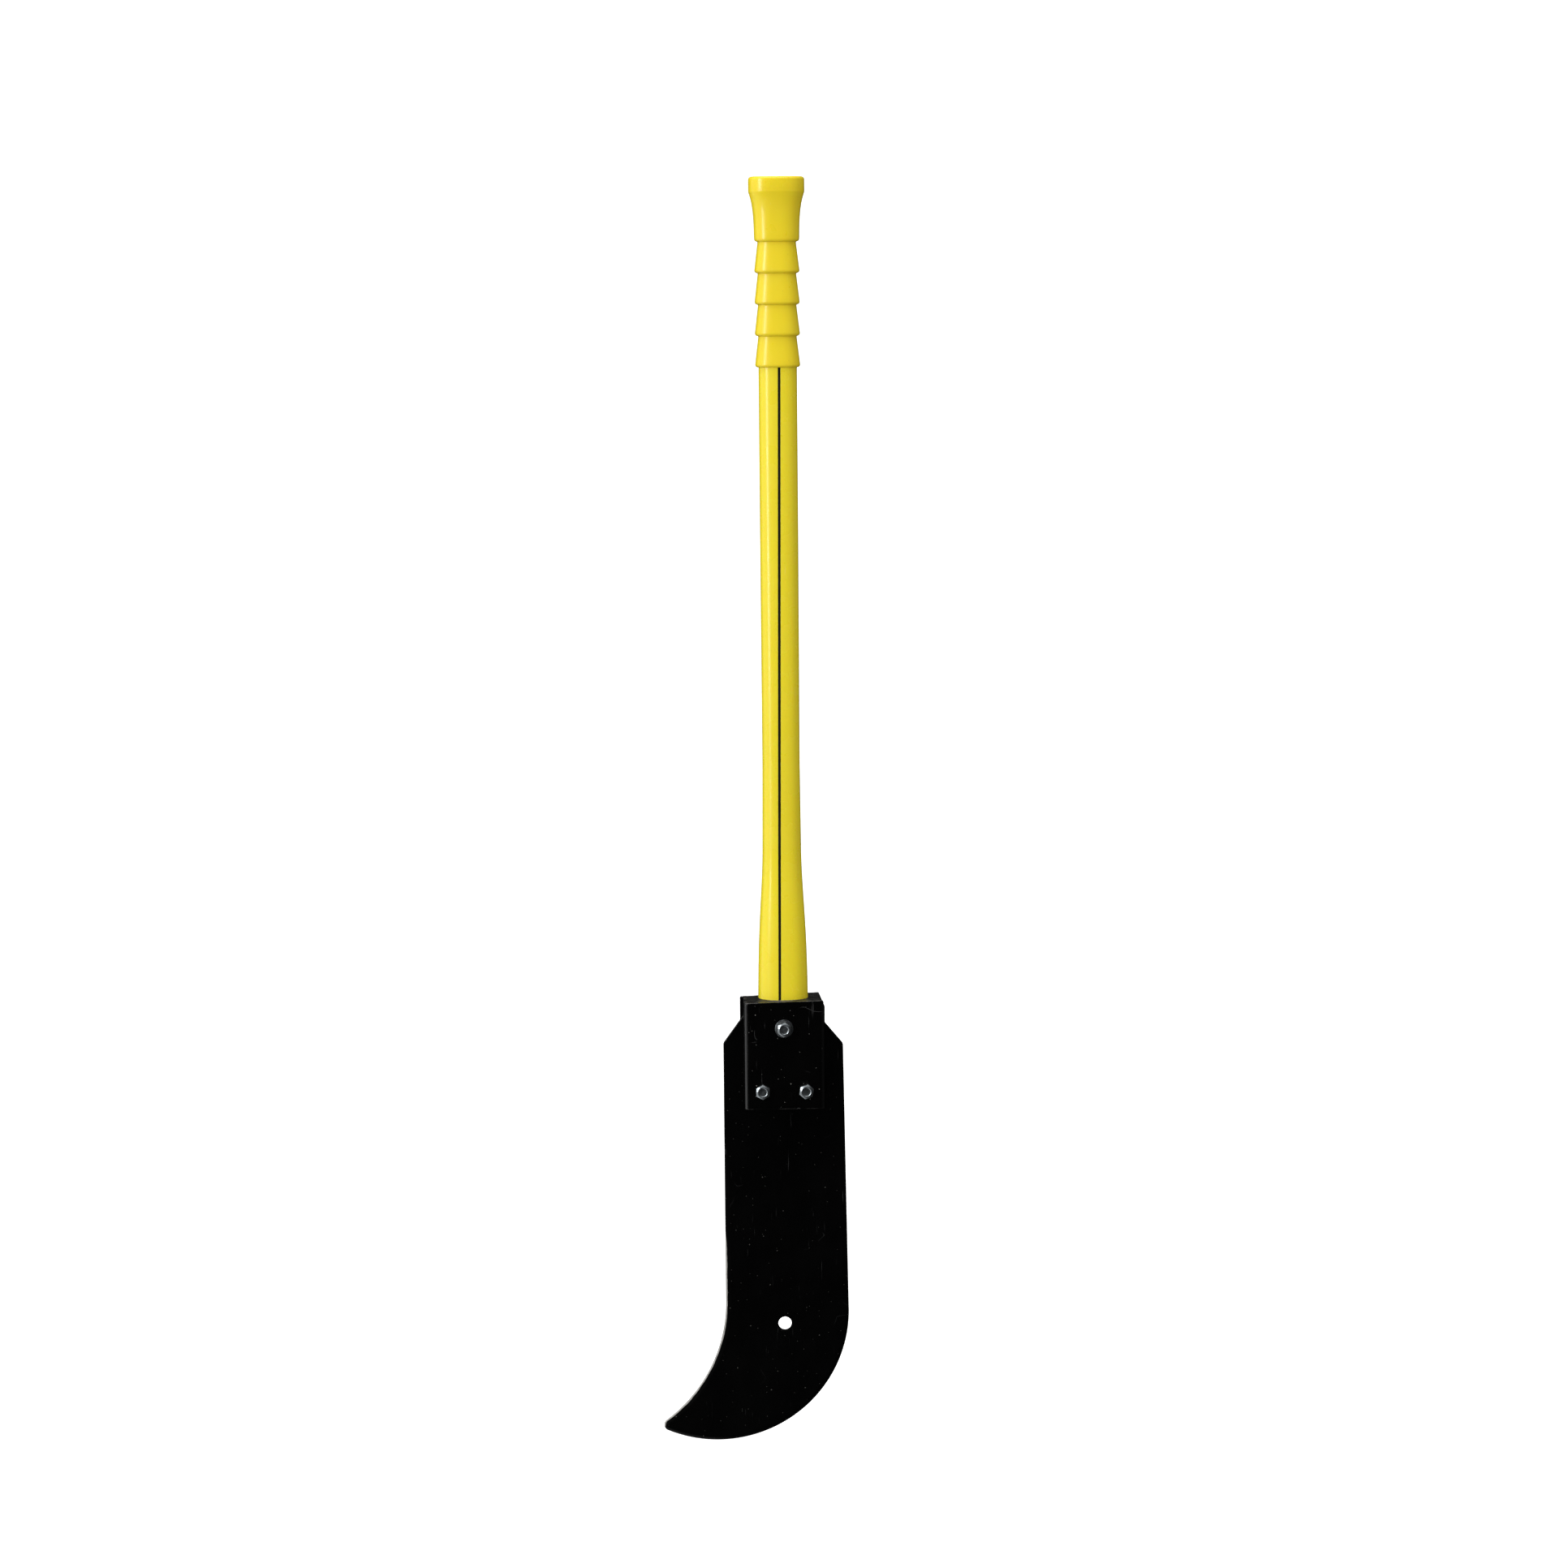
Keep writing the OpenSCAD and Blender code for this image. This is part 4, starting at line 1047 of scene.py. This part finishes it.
def bolt_grid(s, turn, shank_length):
    """Rings of a bolt from the tip of its thread to the middle of its dished head. The thread's
    radius falls and rises as a triangle wave of height over pitch minus turn; the head is a
    hexagon cut by a thirty degree cone."""
    angles = np.linspace(0, 2 * np.pi, 144, endpoint=False)
    flats = hexagon_radius(angles, s.flats, turn)
    crown, shank, dish = s.face, s.shank, s.dish
    z = np.linspace(-shank_length, -shank_length + s.threaded, 190)[:, None]
    phase = np.mod(z / s.pitch - angles / (2 * np.pi), 1.0)
    wave = np.clip(np.abs(phase - 0.5) * 2.6 - 0.25, 0, 1)
    fade = np.clip((-shank_length + s.threaded - z) / (1.5 * s.pitch), 0, 1)
    thread = shank - s.thread * wave * fade
    thread = np.minimum(thread, shank - s.thread + (z + shank_length) * 0.9)
    radius = np.concatenate([thread[:1] * 0.02, thread, np.full((1, 144), shank)])
    height = np.concatenate([z[:1] + 0 * thread[:1], z + 0 * thread, np.full((1, 144), 0.0)])
    chamfer = math.tan(math.radians(30))
    shoulder = s.head - (flats - crown) * chamfer
    collar = s.flats / 2 * 0.93
    head = [(collar, 0.0), (collar, 0.0002), (flats - 0.0002, 0.0002), (flats, 0.0004),
            (flats, shoulder - 0.0002), (flats - 0.00008, shoulder + 0.00004),
            ((flats + crown) / 2, s.head - (flats - crown) / 2 * chamfer),
            (crown + 0.00012, s.head - 0.00008), (crown - 0.0001, s.head),
            (dish + 0.00015, s.head), (dish - 0.00005, s.head - 0.0001),
            (dish - 0.0004, s.head - 0.0005), (dish - 0.0007, s.head - 0.0006),
            (dish * 0.4, s.head - 0.00062), (dish * 0.02, s.head - 0.00062)]
    zero = np.zeros(144)
    radius = np.concatenate([radius, [r + zero for r, _ in head]])
    height = np.concatenate([height, [h + zero for _, h in head]])
    return spun(angles, radius, height)


def nut_grid(s, turn, tall):
    """Rings of a nut: up its bore, over the chamfered end, down the flats and back."""
    angles = np.linspace(0, 2 * np.pi, 144, endpoint=False)
    flats = hexagon_radius(angles, s.flats, turn)
    crown = s.flats / 2 * 0.955
    chamfer = math.tan(math.radians(30))
    drop = (flats - crown) * chamfer
    bore = s.shank + 0.00002
    zero = np.zeros(144)
    rows = [(crown, 0.0), (flats - 0.0001, drop), (flats, drop + 0.0002),
            (flats, tall - drop - 0.0002), (flats - 0.0001, tall - drop),
            (crown + 0.0001, tall - 0.00008), (crown - 0.00015, tall),
            (bore + 0.0007, tall), (bore + 0.00055, tall - 0.0001), (bore, tall - 0.0007),
            (bore, 0.0007), (bore + 0.0007, 0.0)]
    radius = np.array([r + zero for r, _ in rows])
    height = np.array([h + zero for _, h in rows])
    return spun(angles, radius, height)


def washer_grid(inner, outer, thick, angles, soft):
    """Rings of a washer's section, a rectangle with softened corners, carried round the
    angles."""
    q = soft * 0.3
    rows = [(inner + soft, 0), (outer - soft, 0), (outer - q, q), (outer, soft),
            (outer, thick - soft), (outer - q, thick - q), (outer - soft, thick),
            (inner + soft, thick), (inner + q, thick - q), (inner, thick - soft),
            (inner, soft), (inner + q, q)]
    radius = np.array([[r] for r, _ in rows])
    height = np.array([[h] for _, h in rows])
    return spun(angles, radius + 0 * angles, height + 0 * angles)


def closed(grid):
    """A grid whose last row is its first again, so that its section closes."""
    return np.concatenate([grid, grid[:1]])


class BUSHHOOK_OT_fasteners(bpy.types.Operator):
    """Three bolts with their nuts, flat washers and lock washers"""

    bl_idname = "bush_hook.fasteners"
    bl_label = "Fasteners"

    def execute(self, context):
        s = context.scene.bush_hook_fasteners
        zinc = plating_material("bright zinc plate", s.zinc, 0.27, 0.46)
        dull = plating_material("zinc plate on spring steel", s.spring, 0.34, 0.5)
        full = np.linspace(0, 2 * np.pi, 96, endpoint=False)
        for side, (turn, _) in BOLT_TURNS.items():
            node = side + "_bolt"
            x, z = washer_spot(side)
            under = float(low(node)[1]) + s.head
            reach = float(high(node)[1]) - under
            grid = set_in(bolt_grid(s, turn, reach), x, z, under, True)
            make(node + "_screw", grid, capped(grid), zinc, [node], sharp=38)
        for node in sorted(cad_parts):
            bottom, top = low(node), high(node)
            thick, outer = float(top[1] - bottom[1]), float(top[0] - bottom[0]) / 2
            x, z = float(bottom[0] + top[0]) / 2, float(bottom[2] + top[2]) / 2
            if node.endswith("_nut"):
                side = node.removesuffix("_nut")
                grid = closed(nut_grid(s, -BOLT_TURNS[side][1], thick))
                grid = set_in(grid, *washer_spot(side), float(bottom[1]), False)
                make(node + "_hexagon", grid, skin(grid), zinc, [node], sharp=38)
            elif node.endswith("lock_washer"):
                half = s.split / 2 / outer * 1.2
                turn = math.radians(-35)
                part = np.linspace(turn + half, turn + 2 * np.pi - half, 90)
                section = washer_grid(s.shank + 0.00015, outer, thick, part, 0.0003)
                # The section runs along rows, so the sweep is turned to close round it
                grid = section.transpose(1, 0, 2)[::-1]
                faces = capped(grid)
                make(node + "_ring", set_in(grid, x, z, float(top[1]), True), faces, dull,
                     [node], sharp=38)
            elif node.endswith("washer"):
                grid = closed(washer_grid(s.shank + 0.0004, outer, thick, full, 0.0003))
                make(node + "_ring", set_in(grid, x, z, float(top[1]), True), skin(grid), zinc,
                     [node], sharp=38)
        return {"FINISHED"}


# ---------------------------------------------------------------- stage


def soft_light(name, spot, aim, size, power, tone=(1, 1, 1)):
    """A rectangular studio light that points at a spot."""
    lamp = bpy.data.lights.new(name, "AREA")
    lamp.shape = "RECTANGLE"
    lamp.size, lamp.size_y = size
    lamp.energy = power
    lamp.color = tone
    light = bpy.data.objects.new(name, lamp)
    light.location = spot
    way = Vector(aim) - Vector(spot)
    light.rotation_euler = way.to_track_quat("-Z", "Y").to_euler()
    bpy.context.scene.collection.objects.link(light)
    return light


class BUSHHOOK_OT_stage(bpy.types.Operator):
    """Floor, studio light and camera"""

    bl_idname = "bush_hook.stage"
    bl_label = "Stage"

    def execute(self, context):
        s = context.scene.bush_hook_stage
        scene = context.scene
        ground = CAD_BOX[0][2] - 0.0002
        # Floor that curves up into a backdrop: flat, then a quarter circle, then upright
        run = np.linspace(0, 1, 60)
        bend = np.radians(np.linspace(0, 90, 24))
        y = np.concatenate([-14 + 24 * run, 10 + 4 * np.sin(bend[1:]), np.full(8, 14.0)])
        z = np.concatenate([0 * run, 4 * (1 - np.cos(bend[1:])), np.linspace(4.5, 16, 8)])
        x = np.linspace(-16, 16, 9)
        grid = np.stack(np.broadcast_arrays(x, y[:, None], ground + z[:, None]), -1)
        mesh = bpy.data.meshes.new("studio_floor")
        mesh.from_pydata(grid.reshape(-1, 3).tolist(), [], skin(grid, wrap=False))
        mesh.shade_smooth()
        mesh.materials.append(floor_material("matt white studio floor", s.floor))
        floor = bpy.data.objects.new("studio_floor", mesh)
        scene.collection.objects.link(floor)
        floor.visible_glossy = False
        floor.visible_diffuse = False

        soft_light("key", (-2.6, -2.3, 1.5), (0, 0, 0.5), (0.7, 2.6), s.key)
        soft_light("top", (-0.2, -0.3, 3.2), (0, 0, 0.4), (2.2, 2.0), s.top)
        soft_light("fill", (2.8, -2.6, 1.2), (0, 0, 0.5), (1.2, 2.0), s.fill,
                   (1.0, 0.8, 0.55)).visible_glossy = False

        world = bpy.data.worlds.new("studio")
        world.use_nodes = True
        tree = world.node_tree
        tree.nodes.clear()
        path = add(tree, "LightPath")
        spot = add(tree, "TexCoord").outputs["Generated"]
        up = add(tree, "SeparateXYZ", {"Vector": spot})
        # Even light from above and the left, less from below and the right. Reflections see a
        # narrow bright wall on the left, a dim one on the right and little in front and behind.
        dome = maths(tree, "MULTIPLY", span(tree, up.outputs["Z"], -0.6, 0.9, 0.6, 1.15),
                     span(tree, up.outputs["X"], 0.9, -0.5, 0.72, 1.08))
        ahead = maths(tree, "ABSOLUTE", up.outputs["Y"])
        left = span(tree, up.outputs["X"], 0.3, -0.8, 0.05, 1.5)
        sides = maths(tree, "MULTIPLY", span(tree, ahead, 0.62, 0.34), left)
        # Overhead there is a bright ceiling, seen by upward faces
        above = span(tree, up.outputs["Z"], 0.45, 0.85, 0.0, 0.9)
        ends = span(tree, up.outputs["Y"], -0.3, 0.3, 0.012, 0.022)
        room = maths(tree, "MAXIMUM", maths(tree, "MAXIMUM", sides, above), ends)
        level = add(tree, "Mix", {0: path.outputs["Is Glossy Ray"], 2: dome, 3: room},
                    data_type="FLOAT").outputs[0]
        soft = add(tree, "Background", {"Color": (1, 1, 1, 1),
                                        "Strength": maths(tree, "MULTIPLY", level, s.sky)})
        white = add(tree, "Background", {"Color": (1, 1, 1, 1), "Strength": 1.0})
        both = add(tree, "MixShader", {0: path.outputs["Is Camera Ray"], 1: soft.outputs[0],
                                       2: white.outputs[0]})
        add(tree, "OutputWorld", {"Surface": both.outputs[0]})
        scene.world = world
        scene.view_settings.view_transform = "Standard"

        lens = bpy.data.cameras.new("camera")
        lens.lens, lens.sensor_width = s.lens, 36.0
        lens.clip_start, lens.clip_end = 0.05, 100
        camera = bpy.data.objects.new("camera", lens)
        scene.collection.objects.link(camera)
        ahead = (Vector(s.aim) - Vector(s.camera)).normalized()
        right = ahead.cross(Vector((0, 0, 1))).normalized()
        up = right.cross(ahead)
        c, d = math.cos(s.roll), math.sin(s.roll)
        across, upright = right * c + up * d, up * c - right * d
        turn = Matrix((across, upright, -ahead)).transposed()
        camera.matrix_world = Matrix.Translation(Vector(s.camera)) @ turn.to_4x4()
        scene.camera = camera
        return {"FINISHED"}


# ---------------------------------------------------------------- add-on


STEPS = ("blade", "housing", "back_plate", "filler", "jacket", "stripe", "grip", "fasteners",
         "stage")

SETTINGS = {
    "bush_hook_blade": BladeSettings,
    "bush_hook_housing": HousingSettings,
    "bush_hook_handle": HandleSettings,
    "bush_hook_fasteners": FastenerSettings,
    "bush_hook_stage": StageSettings,
}


class BUSHHOOK_PT_tool(bpy.types.Panel):
    """Buttons for the bush hook's pieces, and their settings"""

    bl_idname = "BUSHHOOK_PT_tool"
    bl_label = "Bush Hook"
    bl_space_type = "VIEW_3D"
    bl_region_type = "UI"
    bl_category = "Bush Hook"

    def draw(self, context):
        layout = self.layout
        for step in STEPS:
            layout.operator("bush_hook." + step)
        for attribute, group in SETTINGS.items():
            box = layout.box()
            box.label(text=group.__doc__)
            for name in group.__annotations__:
                box.prop(getattr(context.scene, attribute), name)


CLASSES = (
    *SETTINGS.values(),
    BUSHHOOK_OT_blade,
    BUSHHOOK_OT_housing,
    BUSHHOOK_OT_back_plate,
    BUSHHOOK_OT_filler,
    BUSHHOOK_OT_jacket,
    BUSHHOOK_OT_stripe,
    BUSHHOOK_OT_grip,
    BUSHHOOK_OT_fasteners,
    BUSHHOOK_OT_stage,
    BUSHHOOK_PT_tool,
)


def register():
    for item in CLASSES:
        bpy.utils.register_class(item)
    for attribute, group in SETTINGS.items():
        setattr(bpy.types.Scene, attribute, PointerProperty(type=group))


def unregister():
    for attribute in SETTINGS:
        delattr(bpy.types.Scene, attribute)
    for item in reversed(CLASSES):
        bpy.utils.unregister_class(item)


def main():
    """Builds every piece in order."""
    register()
    for step in STEPS:
        getattr(bpy.ops.bush_hook, step)()


if __name__ == "__main__":
    main()
